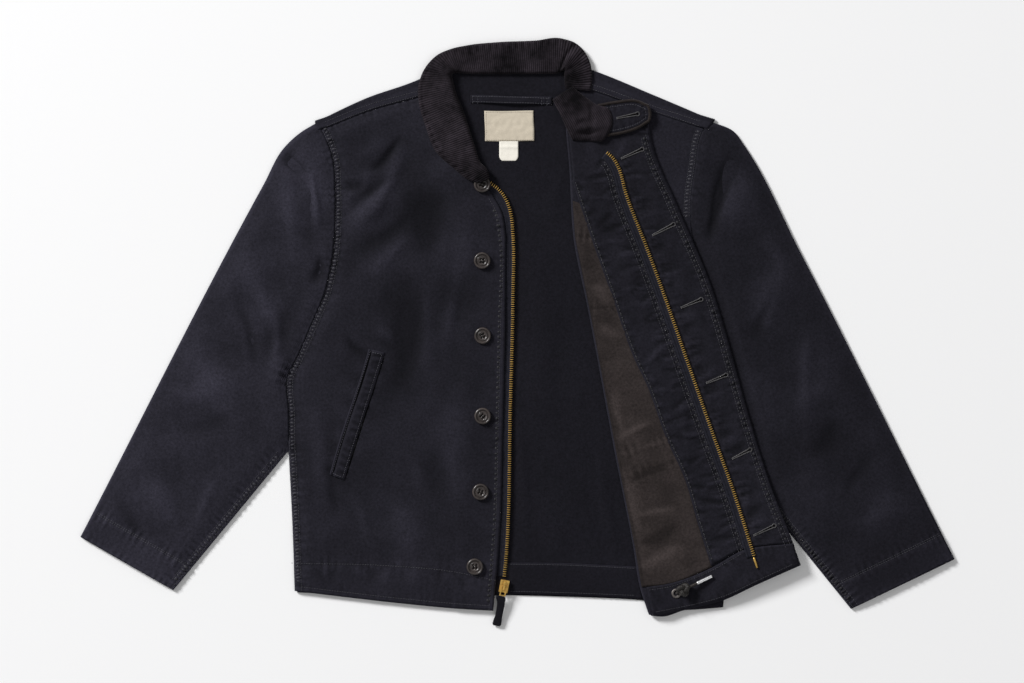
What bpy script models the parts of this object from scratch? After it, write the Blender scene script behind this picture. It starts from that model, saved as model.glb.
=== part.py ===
"""Utility jacket laid flat on its back: right front closed, left front folded open to show its inside.

Plan tables are in millimetres from the middle of the whole outline: x to the picture's right,
y towards the collar, z up from the surface that the jacket lies on. The mesh is made in metres.
"""

import math

import bmesh
import bpy
import numpy as np

METRES = 0.001

# Driving heights and walls, in millimetres
CLOTH = 1.4
SEAM = 0.3
BACK_TOP = 1.4
LINING_WALL = 1.0
FACING_WALL = 1.2
HEM_WALL = 1.0
TAPE_WALL = 0.8
TAPE_WIDTH = 10.0
FRONT_LOW = 1.8
EDGE_LIFT = 2.3
HEM_LIFT = 1.3
FLAP_LOW = 3.6
FOLD_SWELL = 1.8
SLEEVE_TOP = 3.4
TUBE_EDGE = 1.6
TOOTH_HEIGHT = 2.2
TOOTH_WIDTH = 4.6
BUTTON_RADIUS = 10.2
BUTTON_HEIGHT = 3.2
PULL_DROP = 0.118
PIVOT = (-16.2, -309.5, 8.6)
PULL_END = (-25.6, -357.6)

# Finishes: red, green, blue, roughness, metallic
NAVY = (0.020, 0.022, 0.033, 0.85, 0.0)
NAVY_INSIDE = (0.014, 0.015, 0.022, 0.9, 0.0)
CORDUROY = (0.016, 0.014, 0.015, 0.9, 0.0)
BROWN = (0.036, 0.028, 0.026, 0.9, 0.0)
TAPE_BLUE = (0.018, 0.022, 0.034, 0.85, 0.0)
CREAM = (0.62, 0.55, 0.44, 0.85, 0.0)
WHITE_TAB = (0.88, 0.83, 0.72, 0.8, 0.0)
BRASS = (0.60, 0.36, 0.10, 0.35, 1.0)
DARK_METAL = (0.09, 0.08, 0.08, 0.4, 1.0)
HORN = (0.045, 0.038, 0.036, 0.35, 0.0)
CORD_BROWN = (0.030, 0.022, 0.018, 0.85, 0.0)
TIP_METAL = (0.80, 0.80, 0.80, 0.3, 0.6)

# Seam lines of the wearer's right half: x, y
ARMHOLE_RIGHT = ((-243, 255), (-226, 210), (-223.5, 170), (-224, 120), (-228, 84),
                 (-237, 46), (-252, 10), (-271, -33), (-280, -50), (-280, -100), (-279.5, -146))
SIDE_RIGHT = ((-279.5, -146), (-274, -254), (-272, -316))
SHOULDER_RIGHT = ((-246, 255), (-184, 284), (-122, 306), (-93, 320))
FORWARD_RIGHT = ((-239, 246.5), (-178, 270.5), (-122, 286), (-82, 297.5))
NECK_RIGHT = ((-82, 297.5), (-73, 274), (-63, 239), (-53, 210), (-43.5, 190), (-38.5, 178),
              (-29.5, 165), (-19.5, 146), (-14.6, 118))
EDGE_RIGHT = ((-14.6, 118), (-15.2, 2.5), (-17.7, -107), (-21.4, -239), (-29.5, -340))
HEM_RIGHT = ((-272, -316), (-205, -324), (-143, -331), (-80, -337), (-29.5, -340))

# Seam lines of the wearer's left half: x, y
ARMHOLE_LEFT = ((237, 258.5), (228, 247.5), (217, 199), (211.5, 155), (211.5, 133), (219, 84),
                (229, 46), (240, 10), (256, -33), (263, -50), (263, -105), (263, -161))
SIDE_LEFT = ((263, -161), (257, -254), (251, -336))
SHOULDER_LEFT = ((236, 258), (164, 288.5), (94, 317), (79, 322))
FORWARD_LEFT = ((228, 247.5), (159, 270), (89, 294.5), (72, 299))
NECK_LEFT = ((72, 299), (64, 277), (60, 259))
FOLD_LEFT = ((60, 259), (61.5, 240), (66.5, 185), (71, 116), (88.5, 29), (96, -10),
             (122, -150), (144, -262), (152.5, -313), (163, -345))
EDGE_LEFT = ((160, 253), (163, 235), (195, 155), (236.5, 57), (257, -10), (283, -103),
             (315.5, -203.5), (335, -252.5), (345, -280))
HEM_LEFT = ((163, -346), (178, -347), (201, -340), (252, -326.5), (290, -308.5), (345, -284))
HEM_UNDER = ((163, -340), (212, -339), (251, -336))
BACK_HEM = ((-269, -318), (-140, -324), (-9, -321.5), (52, -323), (159, -328), (212, -334), (249, -335))
BACK_NECK = ((-93, 320), (-80, 317.6), (-60, 316.5), (-4, 316.4), (49, 317.3), (62, 318.6), (79, 322))

# Sleeves: the long outer edge, the lower edge and the cuff, x, y
SLEEVE_RIGHT_OUTER = ((-246, 255), (-265, 243.5), (-285, 225), (-310, 180), (-533.5, -250))
SLEEVE_RIGHT_LOWER = ((-280.5, -146), (-420, -315))
SLEEVE_LEFT_OUTER = ((236, 257), (265, 244), (276, 229), (345, 98), (533.5, -277))
SLEEVE_LEFT_LOWER = ((264, -161), (407, -338))

# Collar sections: inner x, y, outer x, y, underside z, height at the roll, height at the outer edge
COLLAR_SECTIONS = (
    (-35.5, 192.5, -44, 187, 9.4, 3.0, 2.6),
    (-37, 199, -58, 187.5, 8.6, 4.0, 2.6),
    (-45.5, 208, -80, 201, 5.8, 5.0, 2.8),
    (-55, 236, -100, 220, 4.2, 6.0, 2.8),
    (-66, 270, -112, 249, 3.9, 6.5, 2.8),
    (-75, 292, -120.5, 279, 3.9, 6.5, 2.8),
    (-78.5, 306, -120.5, 303, 3.9, 6.5, 2.8),
    (-79.5, 315, -113, 322, 3.9, 6.2, 3.0),
    (-77, 318.5, -98, 338, 3.4, 6.0, 3.2),
    (-71, 318, -82, 345.5, 0.4, 6.5, 5.0),
    (-56, 317, -62, 350, 0.0, 6.0, 6.5),
    (-20, 316.8, -24, 354, 0.0, 5.8, 6.8),
    (24, 317, 22, 356, 0.0, 5.8, 6.8),
    (50, 318, 54, 358.5, 0.0, 6.2, 6.8),
    (56, 321, 72, 352, 2.0, 6.2, 4.6),
    (57, 314, 87, 333, 3.9, 4.0, 2.8),
    (57.5, 306, 91, 312, 3.9, 2.6, 2.4),
    (58, 297, 89.5, 294, 3.9, 2.4, 2.2),
)

# Corduroy end on the folded front: outline from the tip round, x, y
COLLAR_END_LEFT = ((42.5, 283.5), (55, 260), (61, 245), (67.5, 236))
COLLAR_END_RIGHT = ((66.5, 299.5), (79, 288), (94, 277.5), (105.5, 234.5))
TAB_TOP = ((98, 277), (120, 281), (146.5, 282), (157, 277.5))
TAB_BOTTOM = ((109.5, 238.5), (125, 241), (150, 249.5), (158.5, 255))

# Facing and inner bag on the folded front, x, y
FACING_INNER = ((66.5, 185), (91, 111.5), (114.5, 46), (143, -34), (157, -63), (182, -131),
                (203.5, -178), (220, -234), (236, -285))
ZIP_LEFT = ((108, 219), (116, 212), (121.5, 203), (132, 168), (158, 100.5), (178, 46), (206, -34), (238.5, -126.5),
            (262, -192), (287.5, -273))
ZIP_RIGHT = ((-34, 182), (-26.5, 176.5), (-17.5, 167), (-11.5, 155), (-7.5, 139), (-5.8, 119.5), (-5.8, 39),
             (-9, -94), (-15, -284), (-16.5, -299))
PIN_LEFT = ((287.5, -274.5), (291.5, -287))

# Centre of each button, x, y
BUTTONS = ((-43, 180), (-43, 87), (-42.5, -4.5), (-42.5, -102.5), (-45, -195), (-52, -286))

# Soft folds: start x, y, end x, y, half width, height
FOLDS_FRONT = (
    (-205, 120, -140, 175, 16, 1.5),
    (-190, 70, -120, 140, 20, 1.1),
    (-120, 60, -105, -110, 20, 1.2),
    (-92, 150, -80, 20, 16, 0.9),
    (-255, -60, -225, -240, 14, 1.1),
    (-150, -190, -120, -300, 18, 1.0),
)
FOLDS_SLEEVE_RIGHT = (
    (-290, 190, -262, 70, 20, 1.8),
    (-330, 110, -300, -20, 24, 1.6),
    (-430, -80, -330, -60, 24, 1.2),
    (-470, -170, -410, -240, 20, 1.3),
)
FOLDS_SLEEVE_LEFT = (
    (276, 215, 248, 140, 17, 2.4),
    (330, 90, 300, -10, 24, 1.6),
    (390, -60, 330, -110, 24, 1.3),
    (470, -190, 415, -250, 20, 1.3),
)
FOLDS_BACK = (
    (20, 120, 40, -160, 22, 0.9),
    (100, -120, 118, -300, 16, 1.0),
    (0, -60, 10, -300, 14, 0.8),
)


def clear_scene():
    for obj in list(bpy.data.objects):
        bpy.data.objects.remove(obj, do_unlink=True)


def finish_of(name, look):
    red, green, blue, roughness, metallic = look
    material = bpy.data.materials.new(name)
    material.use_nodes = True
    shader = material.node_tree.nodes["Principled BSDF"]
    shader.inputs["Base Color"].default_value = (red, green, blue, 1.0)
    shader.inputs["Roughness"].default_value = roughness
    shader.inputs["Metallic"].default_value = metallic
    material.diffuse_color = (red, green, blue, 1.0)
    return material


def place(name, points, faces, look, smooth=True):
    """One closed mesh object from points in millimetres, with its faces turned outwards."""
    mesh = bpy.data.meshes.new(name)
    mesh.from_pydata([tuple(p) for p in np.asarray(points, float) * METRES], [], faces)
    work = bmesh.new()
    work.from_mesh(mesh)
    bmesh.ops.recalc_face_normals(work, faces=work.faces)
    work.to_mesh(mesh)
    work.free()
    if smooth:
        mesh.shade_smooth()
        mesh.set_sharp_from_angle(angle=math.radians(40))
    obj = bpy.data.objects.new(name, mesh)
    obj.data.materials.append(finish_of(name, look))
    bpy.context.scene.collection.objects.link(obj)
    return obj


def smoothstep(value):
    t = np.clip(value, 0.0, 1.0)
    return t * t * (3 - 2 * t)


def smooth_line(table, stations):
    """Points at shares of the length of a smooth curve through the table's points."""
    points = np.asarray(table, float)
    length = np.concatenate([[0], np.cumsum(np.linalg.norm(np.diff(points, axis=0), axis=1))])
    if len(points) == 2:
        slope = np.repeat((points[1:] - points[:1]) / length[1], 2, axis=0)
    else:
        slope = np.gradient(points, length, axis=0)
    dense = []
    for k in range(len(points) - 1):
        t = np.linspace(0, 1, 25)[:-1, None]
        run = length[k + 1] - length[k]
        dense.append(
            (2 * t**3 - 3 * t**2 + 1) * points[k] + (t**3 - 2 * t**2 + t) * run * slope[k]
            + (3 * t**2 - 2 * t**3) * points[k + 1] + (t**3 - t**2) * run * slope[k + 1]
        )
    dense = np.concatenate(dense + [points[-1:]])
    along = np.concatenate([[0], np.cumsum(np.linalg.norm(np.diff(dense, axis=0), axis=1))])
    want = np.asarray(stations, float) * along[-1]
    return np.stack([np.interp(want, along, dense[:, i]) for i in range(dense.shape[1])], axis=1)


def even(count):
    return np.linspace(0, 1, count)


def patch(first, last, start, end, rows=None, columns=None):
    """Plan points between four edges: first and last run down the rows, start and end across them."""
    rows = even(len(first)) if rows is None else rows
    columns = even(len(start)) if columns is None else columns
    v = rows[:, None, None]
    s = columns[None, :, None]
    sides = (1 - s) * first[:, None] + s * last[:, None]
    ends = (1 - v) * start[None] + v * end[None]
    corners = (1 - v) * ((1 - s) * first[0] + s * last[0]) + v * ((1 - s) * first[-1] + s * last[-1])
    return sides + ends - corners


def raised(plan, height):
    """A grid of plan points with a height for each."""
    return np.concatenate([plan, np.broadcast_to(height, plan.shape[:2])[..., None]], axis=2)


def wall(name, under, over, look, cells=None):
    """Closed cloth wall between two grids; cells says which of the grid's cells are cloth."""
    rows, columns = under.shape[:2]
    cells = np.ones((rows - 1, columns - 1), bool) if cells is None else cells
    index = np.arange(rows * columns).reshape(rows, columns)
    top = rows * columns
    faces = []
    edges = {}
    for i, j in zip(*np.nonzero(cells)):
        loop = [int(index[i, j]), int(index[i + 1, j]), int(index[i + 1, j + 1]), int(index[i, j + 1])]
        faces.append([top + k for k in loop])
        faces.append(loop[::-1])
        for a, b in zip(loop, loop[1:] + loop[:1]):
            if (b, a) in edges:
                del edges[(b, a)]
            else:
                edges[(a, b)] = True
    faces += [[a, b, top + b, top + a] for a, b in edges]
    points = np.concatenate([under.reshape(-1, 3), over.reshape(-1, 3)])
    used = sorted({k for face in faces for k in face})
    renumber = {old: new for new, old in enumerate(used)}
    faces = [[renumber[k] for k in face] for face in faces]
    return place(name, points[used], faces, look)


def loft(name, rings, look, ring_of_rings=False):
    """Closed solid through rings of equal count, capped at its ends or joined round to its start."""
    count, sides = rings.shape[:2]
    last = count if ring_of_rings else count - 1
    faces = []
    for i in range(last):
        for j in range(sides):
            n, k = (i + 1) % count, (j + 1) % sides
            faces.append([i * sides + j, n * sides + j, n * sides + k, i * sides + k])
    if not ring_of_rings:
        faces.append(list(range(sides)))
        faces.append([(count - 1) * sides + j for j in range(sides)][::-1])
    return place(name, rings.reshape(-1, 3), faces, look)


def folds(plan, table):
    """Height of the soft folds: each a rounded ridge that fades out towards its two ends."""
    height = np.zeros(plan.shape[:-1])
    for x0, y0, x1, y1, half_width, ridge in table:
        run = np.array([x1 - x0, y1 - y0], float)
        length = np.hypot(*run)
        rel = plan - np.array([x0, y0], float)
        along = (rel @ run) / length**2
        across = (rel[..., 0] * run[1] - rel[..., 1] * run[0]) / length
        fade = smoothstep(along * 2.5) * smoothstep((1 - along) * 2.5)
        height += ridge * np.exp(-((across / half_width) ** 2)) * fade
    return height


def turned(centre, profile, sides):
    """Rings of a turned piece standing on its centre; the profile gives radius and height."""
    angle = np.linspace(0, 2 * math.pi, sides, endpoint=False)
    rings = [np.stack([centre[0] + r * np.cos(angle), centre[1] + r * np.sin(angle),
                       np.full(sides, centre[2] + z)], axis=1) for r, z in profile]
    return np.array(rings)


def strip(name, line, width, low, height, look):
    """Flat strip centred on a plan line, with square sides."""
    run = np.gradient(line, axis=0)
    side = np.stack([run[:, 1], -run[:, 0]], axis=1)
    side /= np.linalg.norm(side, axis=1)[:, None]
    offsets = np.array([-0.5, 0.5]) * width
    plan = line[:, None] + side[:, None] * offsets[None, :, None]
    low = np.broadcast_to(np.asarray(low, float).reshape(-1, 1), plan.shape[:2])
    return wall(name, raised(plan, low), raised(plan, low + height), look)


def shifted(line, distance):
    """A plan line moved sideways, to its right as it runs."""
    run = np.gradient(line, axis=0)
    side = np.stack([-run[:, 1], run[:, 0]], axis=1)
    side /= np.linalg.norm(side, axis=1)[:, None]
    return line - side * distance


# Shared seam points: both pieces at a seam use the same ones
ARM_POINTS = 13
SIDE_POINTS = 8


def body_side(armhole, side, sideways):
    """Points down the armhole and the side seam; the side part is set in by sideways."""
    arm = smooth_line(armhole, even(ARM_POINTS))
    low = smooth_line(side, even(SIDE_POINTS))[1:]
    line = np.concatenate([arm, low])
    inset = np.full(len(line), 0.35)
    inset[ARM_POINTS - 5:] = abs(sideways)
    line[:, 0] += np.sign(sideways) * inset
    return line


def make_back():
    """Back panel flat on the surface, going over both shoulders to the forward seams."""
    left = body_side(ARMHOLE_RIGHT, SIDE_RIGHT, 3.0)[::-1]
    right = body_side(ARMHOLE_LEFT, SIDE_LEFT, -3.0)[::-1]
    shoulder_columns, neck_columns = 6, 9
    across = np.concatenate([
        smooth_line(SHOULDER_RIGHT, even(shoulder_columns)),
        smooth_line(BACK_NECK, even(neck_columns))[1:-1],
        smooth_line(SHOULDER_LEFT, even(shoulder_columns))[::-1],
    ])
    across[0] = left[-1]
    across[-1] = right[-1]
    share = (across[:, 0] - across[0, 0]) / (across[-1, 0] - across[0, 0])
    hem = smooth_line(BACK_HEM, share)
    hem[0], hem[-1] = left[0], right[0]
    rise = (left[:, 1] - left[0, 1]) / (left[-1, 1] - left[0, 1])
    plan = patch(left, right, hem, across, rise, share)
    flat = raised(plan, CLOTH / 2)
    seam = np.concatenate([
        smooth_line(FORWARD_RIGHT, even(shoulder_columns)),
        np.zeros((neck_columns - 2, 2)),
        smooth_line(FORWARD_LEFT, even(shoulder_columns))[::-1],
    ])
    # The strip lies on top: round the shoulder, then down to just short of the forward seam
    top_middle = FRONT_LOW + CLOTH / 2
    radius = (top_middle - CLOTH / 2) / 2
    turn = np.radians([-45, 0, 45, 90])
    over_rows = []
    for angle in turn:
        row = raised(across[None], CLOTH / 2 + radius + radius * np.sin(angle))[0]
        row[:, 1] += radius * np.cos(angle)
        over_rows.append(row)
    away = across - seam
    away /= np.maximum(np.linalg.norm(away, axis=1), 1e-6)[:, None]
    end = seam + away * 0.6
    for t in (0.5, 1.0):
        over_rows.append(raised((across + (end - across) * t)[None], top_middle)[0])
    middle = np.concatenate([flat, np.array(over_rows)])
    cells = np.ones((len(middle) - 1, len(across) - 1), bool)
    cells[len(flat) - 1:, shoulder_columns - 1:-(shoulder_columns - 1)] = False
    row_normal = np.gradient(middle, axis=0)
    normal = np.zeros_like(middle)
    normal[..., 1] = -row_normal[..., 2]
    normal[..., 2] = row_normal[..., 1]
    normal[:len(flat) - 1] = (0, 0, 1)
    normal /= np.linalg.norm(normal, axis=2)[..., None]
    under = middle - normal * CLOTH / 2
    over = middle + normal * CLOTH / 2
    shown = (plan[..., 0] > -6) & (plan[..., 0] < 150)
    over[:len(flat), :, 2] += folds(plan, FOLDS_BACK) * shown * (plan[..., 1] < 200) * 0.9
    wall("back", under, over, NAVY_INSIDE, cells)


def front_right_grid():
    """Plan points of the right front, and the height of its underside."""
    left = body_side(ARMHOLE_RIGHT, SIDE_RIGHT, 0.0001)
    left[0] = FORWARD_RIGHT[0]
    rows = len(left)
    share = (left[:, 1] - left[0, 1]) / (left[-1, 1] - left[0, 1])
    neck = smooth_line(NECK_RIGHT, even(8))
    edge = smooth_line(EDGE_RIGHT, even(rows - 7))
    right = np.concatenate([neck, edge[1:]])
    columns = np.array([0, 0.013, 0.1, 0.22, 0.34, 0.46, 0.57, 0.68, 0.78, 0.86, 0.93, 1.0])
    top = smooth_line(FORWARD_RIGHT, columns)
    bottom = smooth_line(HEM_RIGHT, columns)
    bottom[0] = left[-1]
    down = 0.5 * share + 0.5 * even(rows)
    plan = patch(left, right, top, bottom, down, columns)
    return plan


def front_right_low(plan):
    """Underside of the right front: lifted over the zip's tape and the hem facing, and by its folds."""
    edge_x = np.interp(plan[..., 1], [p[1] for p in EDGE_RIGHT[::-1]], [p[0] for p in EDGE_RIGHT[::-1]])
    neck_y = plan[..., 1] > EDGE_RIGHT[0][1]
    slant = np.where(neck_y, (plan[..., 1] - EDGE_RIGHT[0][1]) * 0.42, 0.0)
    from_edge = edge_x - slant - plan[..., 0]
    lift = EDGE_LIFT * smoothstep((66 - from_edge) / 26)
    lift *= smoothstep((215 - plan[..., 1]) / 25)
    hem = HEM_LIFT * smoothstep((-215 - plan[..., 1]) / 40)
    return FRONT_LOW + np.maximum(lift, hem) + folds(plan, FOLDS_FRONT)


def make_front_right():
    plan = front_right_grid()
    low = front_right_low(plan)
    side_rows = slice(ARM_POINTS - 4, None)
    low[side_rows, 0] = 0.4
    thick = CLOTH + 0.5 * smoothstep((-282 - plan[..., 1]) / 4)
    wall("front_right", raised(plan, low), raised(plan, low + thick), NAVY)


def fold_x(y):
    return np.interp(y, [p[1] for p in FOLD_LEFT[::-1]], [p[0] for p in FOLD_LEFT[::-1]])


def flap_swell(y):
    """How far the folded cloth stands up at the fold: nothing under the collar, full below it."""
    return FOLD_SWELL * smoothstep((215 - y) / 50)


def flap_low(plan):
    """Underside of the flap: highest beside the fold, then flat."""
    x, y = plan[..., 0], plan[..., 1]
    away = np.maximum(x - fold_x(y), 0)
    swell = flap_swell(y) * np.exp(-((away / 20) ** 2))
    return FLAP_LOW + swell


def flap_top(plan):
    return flap_low(plan) + CLOTH


FLAP_SHARES = np.array([0, 0.05, 0.13, 0.24, 0.38, 0.52, 0.66, 0.78, 0.9, 1.0])


def flap_lines():
    """Points down the fold and down the folded front's edge, at matching rows."""
    rows = 20
    fold = smooth_line(FOLD_LEFT, even(rows))
    edge = smooth_line(EDGE_LEFT, even(rows))
    return fold, edge


def make_front_left():
    """Left front: under layer from the side seam, a round fold, and the flap laid over it."""
    fold, edge = flap_lines()
    rows_above = 3
    neck = smooth_line(NECK_LEFT, even(rows_above + 1))[:-1]
    inner = np.concatenate([neck, fold])
    rows = len(inner)
    arm = body_side(ARMHOLE_LEFT, SIDE_LEFT, -0.0001)[:ARM_POINTS]
    arm[0] = FORWARD_LEFT[0]
    outer = np.concatenate([arm, smooth_line(SIDE_LEFT, even(rows - ARM_POINTS + 1))[1:]])
    columns = np.array([0, 0.02, 0.2, 0.4, 0.6, 0.8, 0.93, 1.0])
    top = smooth_line(FORWARD_LEFT, columns)
    bottom = smooth_line(HEM_UNDER[::-1], columns)
    plan = patch(outer, inner, top, bottom, None, columns)
    under_middle = raised(plan, FRONT_LOW + CLOTH / 2)
    under_middle[ARM_POINTS:, 0, 2] -= 1.2
    flap = np.zeros((rows, len(FLAP_SHARES), 2))
    hem = smooth_line(HEM_LEFT, FLAP_SHARES)
    head = fold[0] + (edge[0] - fold[0]) * FLAP_SHARES[:, None]
    flap[rows_above:] = patch(fold, edge, head, hem, None, FLAP_SHARES)
    flap[:rows_above] = flap[rows_above]
    flap_middle = raised(flap, flap_low(flap) + CLOTH / 2)
    low_z = FRONT_LOW + CLOTH / 2
    turn = np.radians([-50, 0, 50])
    arcs = []
    for angle in turn:
        high = flap_middle[:, 0, 2]
        radius = (high - low_z) / 2
        arc = np.stack([inner[:, 0] - radius * np.cos(angle), inner[:, 1],
                        low_z + radius + radius * np.sin(angle)], axis=1)
        arcs.append(arc)
    middle = np.concatenate([under_middle, np.stack(arcs, axis=1), flap_middle], axis=1)
    across = np.gradient(middle, axis=1)
    normal = np.zeros_like(middle)
    normal[..., 0] = across[..., 2]
    normal[..., 2] = -across[..., 0]
    normal[:, :plan.shape[1] - 1] = (0, 0, 1)
    normal[:, plan.shape[1] + len(turn) + 1:] = (0, 0, -1)
    normal /= np.maximum(np.linalg.norm(normal, axis=2), 1e-9)[..., None]
    cells = np.ones((rows - 1, middle.shape[1] - 1), bool)
    cells[:rows_above, plan.shape[1] - 1:] = False
    normal[:rows_above, plan.shape[1] - 1] = (0, 0, 1)
    wall("front_left", middle - normal * CLOTH / 2, middle + normal * CLOTH / 2, NAVY, cells)


def on_flap(name, plan, wall_height, look, extra=0.0):
    """A layer that lies on the flap, made from the flap's own height."""
    low = flap_top(plan) + SEAM + 0.1 + extra
    return wall(name, raised(plan, low), raised(plan, low + wall_height), look)


def make_flap_layers():
    fold, edge = flap_lines()
    inset_fold = fold + np.array([3.0, 0])
    down = even(19)
    facing_line = smooth_line(FACING_INNER, down)
    lining_y = np.linspace(158, -309, 19)
    lining_left = np.stack([np.interp(-lining_y, -inset_fold[:, 1], inset_fold[:, 0]), lining_y], axis=1)
    lining_right = smooth_line(FACING_INNER, np.linspace(0.062, 1.0, 19)) + np.array([-0.6, -1.0])
    shares = np.array([0, 0.25, 0.5, 0.75, 1.0])
    lining_end = smooth_line((lining_left[-1], (188, -305.5), lining_right[-1]), shares)
    lining_top = lining_left[0] + (lining_right[0] - lining_left[0]) * shares[:, None]
    on_flap("lining_left", patch(lining_left, lining_right, lining_top, lining_end, None, shares),
            LINING_WALL, BROWN)
    top_part = smooth_line(((63.5, 252), (69.5, 187.5)), even(5))
    facing_left = np.concatenate([top_part[:-1], facing_line])
    rows = len(facing_left)
    edge_y = np.linspace(0.0, 0.955, rows)
    facing_right = smooth_line(EDGE_LEFT, edge_y) + np.array([-2.5, 0])
    shares = np.array([0, 0.2, 0.4, 0.6, 0.8, 1.0])
    facing_top = facing_left[0] + (facing_right[0] - facing_left[0]) * shares[:, None]
    facing_end = smooth_line(((236, -285), (271, -266), (facing_right[-1][0], facing_right[-1][1])), shares)
    on_flap("facing_left", patch(facing_left, facing_right, facing_top, facing_end, None, shares),
            FACING_WALL, NAVY)
    shares = even(11)
    band_top = smooth_line(((157, -314), (188, -309), (203, -304.5), (237, -290), (272, -270),
                            (facing_right[-1][0] + 1, facing_right[-1][1] - 3)), shares)
    band_low = smooth_line(((165.5, -342), (178, -343.5), (201, -337), (252, -323.5), (290, -305.5),
                            (340, -283)), shares)
    band = np.stack([band_top + (band_low - band_top) * t for t in (0, 0.5, 1.0)])
    on_flap("hem_facing_left", band, FACING_WALL, NAVY_INSIDE)


def make_sleeve(name, armhole, outer, lower, folds_table, side):
    """Flattened tube from the armhole seam to the cuff: flat below, soft folds above, open at both ends."""
    arm = smooth_line(armhole, even(ARM_POINTS)) + np.array([0.35 * side, 0])
    arm[0] = outer[0]
    rows = 14
    along = np.concatenate([[0, 0.03, 0.075, 0.13], np.linspace(0.2, 1, rows - 4)])
    first = smooth_line(outer, along)
    last = smooth_line(lower, along)
    last[0] = arm[-1]
    share = np.concatenate([[0], np.cumsum(np.linalg.norm(np.diff(arm, axis=0), axis=1))])
    share /= share[-1]
    cuff = first[-1] + (last[-1] - first[-1]) * share[:, None]
    plan = patch(first, last, arm, cuff, along, share)
    top = SLEEVE_TOP + folds(plan, folds_table) * outside_flap(plan)

    def ring(inset, bottom, above):
        """Underside from one edge to the other, the edge itself, then the upper side back again."""
        run = plan[:, -1] - plan[:, 0]
        run /= np.linalg.norm(run, axis=1)[:, None]
        inner = plan.copy()
        inner[:, 0] += run * inset
        inner[:, -1] -= run * inset
        tuck = inner.copy()
        tuck[:, 0] += run * TUBE_EDGE
        tuck[:, -1] -= run * TUBE_EDGE
        below = raised(tuck, bottom)
        upper = raised(tuck, above)
        middle = (SLEEVE_TOP / 2)
        edge_a = raised(inner[:, :1], middle)
        edge_b = raised(inner[:, -1:], middle)
        return np.concatenate([edge_a, below, edge_b, upper[:, ::-1]], axis=1)

    outside = ring(0.0, 0.0, top)
    inside = ring(CLOTH, CLOTH, top - CLOTH)
    loft(name, np.concatenate([outside, inside[::-1]]), NAVY, ring_of_rings=True)


def make_collar():
    """Corduroy band: right tip, roll line, round the back of the neck to the left shoulder."""
    sections = smooth_line(COLLAR_SECTIONS, even(40))
    # Across the band: share from inner to outer edge, and share of the height from underside to top
    outline = ((0.05, 0.0), (0.35, 0.0), (0.7, 0.0), (0.96, 0.0), (1.0, 0.5), (0.96, 1.0),
               (0.75, 0.96), (0.5, 0.96), (0.26, 1.0), (0.1, 0.94), (0.0, 0.45))
    rings = []
    for x0, y0, x1, y1, base, roll, outer in sections:
        base = max(base, 0.0)
        ring = []
        for share, up in outline:
            height = roll + (outer - roll) * smoothstep(share * 1.1)
            ring.append((x0 + (x1 - x0) * share, y0 + (y1 - y0) * share, base + up * height))
        rings.append(ring)
    loft("collar", np.array(rings), CORDUROY)
    left = smooth_line(COLLAR_END_LEFT, even(7))
    right = smooth_line(COLLAR_END_RIGHT, even(7))
    shares = even(6)
    top = left[0] + (right[0] - left[0]) * shares[:, None]
    bottom = left[-1] + (right[-1] - left[-1]) * shares[:, None]
    plan = patch(left, right, top, bottom, None, shares)
    low = flap_low(np.array([[[150.0, 240.0]]]))[0, 0] + CLOTH + FACING_WALL + 3 * SEAM
    crown = 1.2 * np.outer(np.sin(even(7) * math.pi), np.sin(shares * math.pi)) ** 0.7
    wall("collar_left_end", raised(plan, low), raised(plan, low + 2.4 + crown), CORDUROY)
    upper = smooth_line(TAB_TOP, even(9))
    lower = smooth_line(TAB_BOTTOM, even(9))
    plan = np.stack([upper + (lower - upper) * t for t in even(5)], axis=1)
    round_end = 3.2 * np.sin(even(5) * math.pi)
    plan[-1, :, 0] += round_end
    crown = 0.6 * np.outer(np.sin(even(9) * math.pi), np.sin(even(5) * math.pi)) ** 0.7
    wall("throat_tab", raised(plan, low), raised(plan, low + 2.2 + crown), NAVY)


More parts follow.
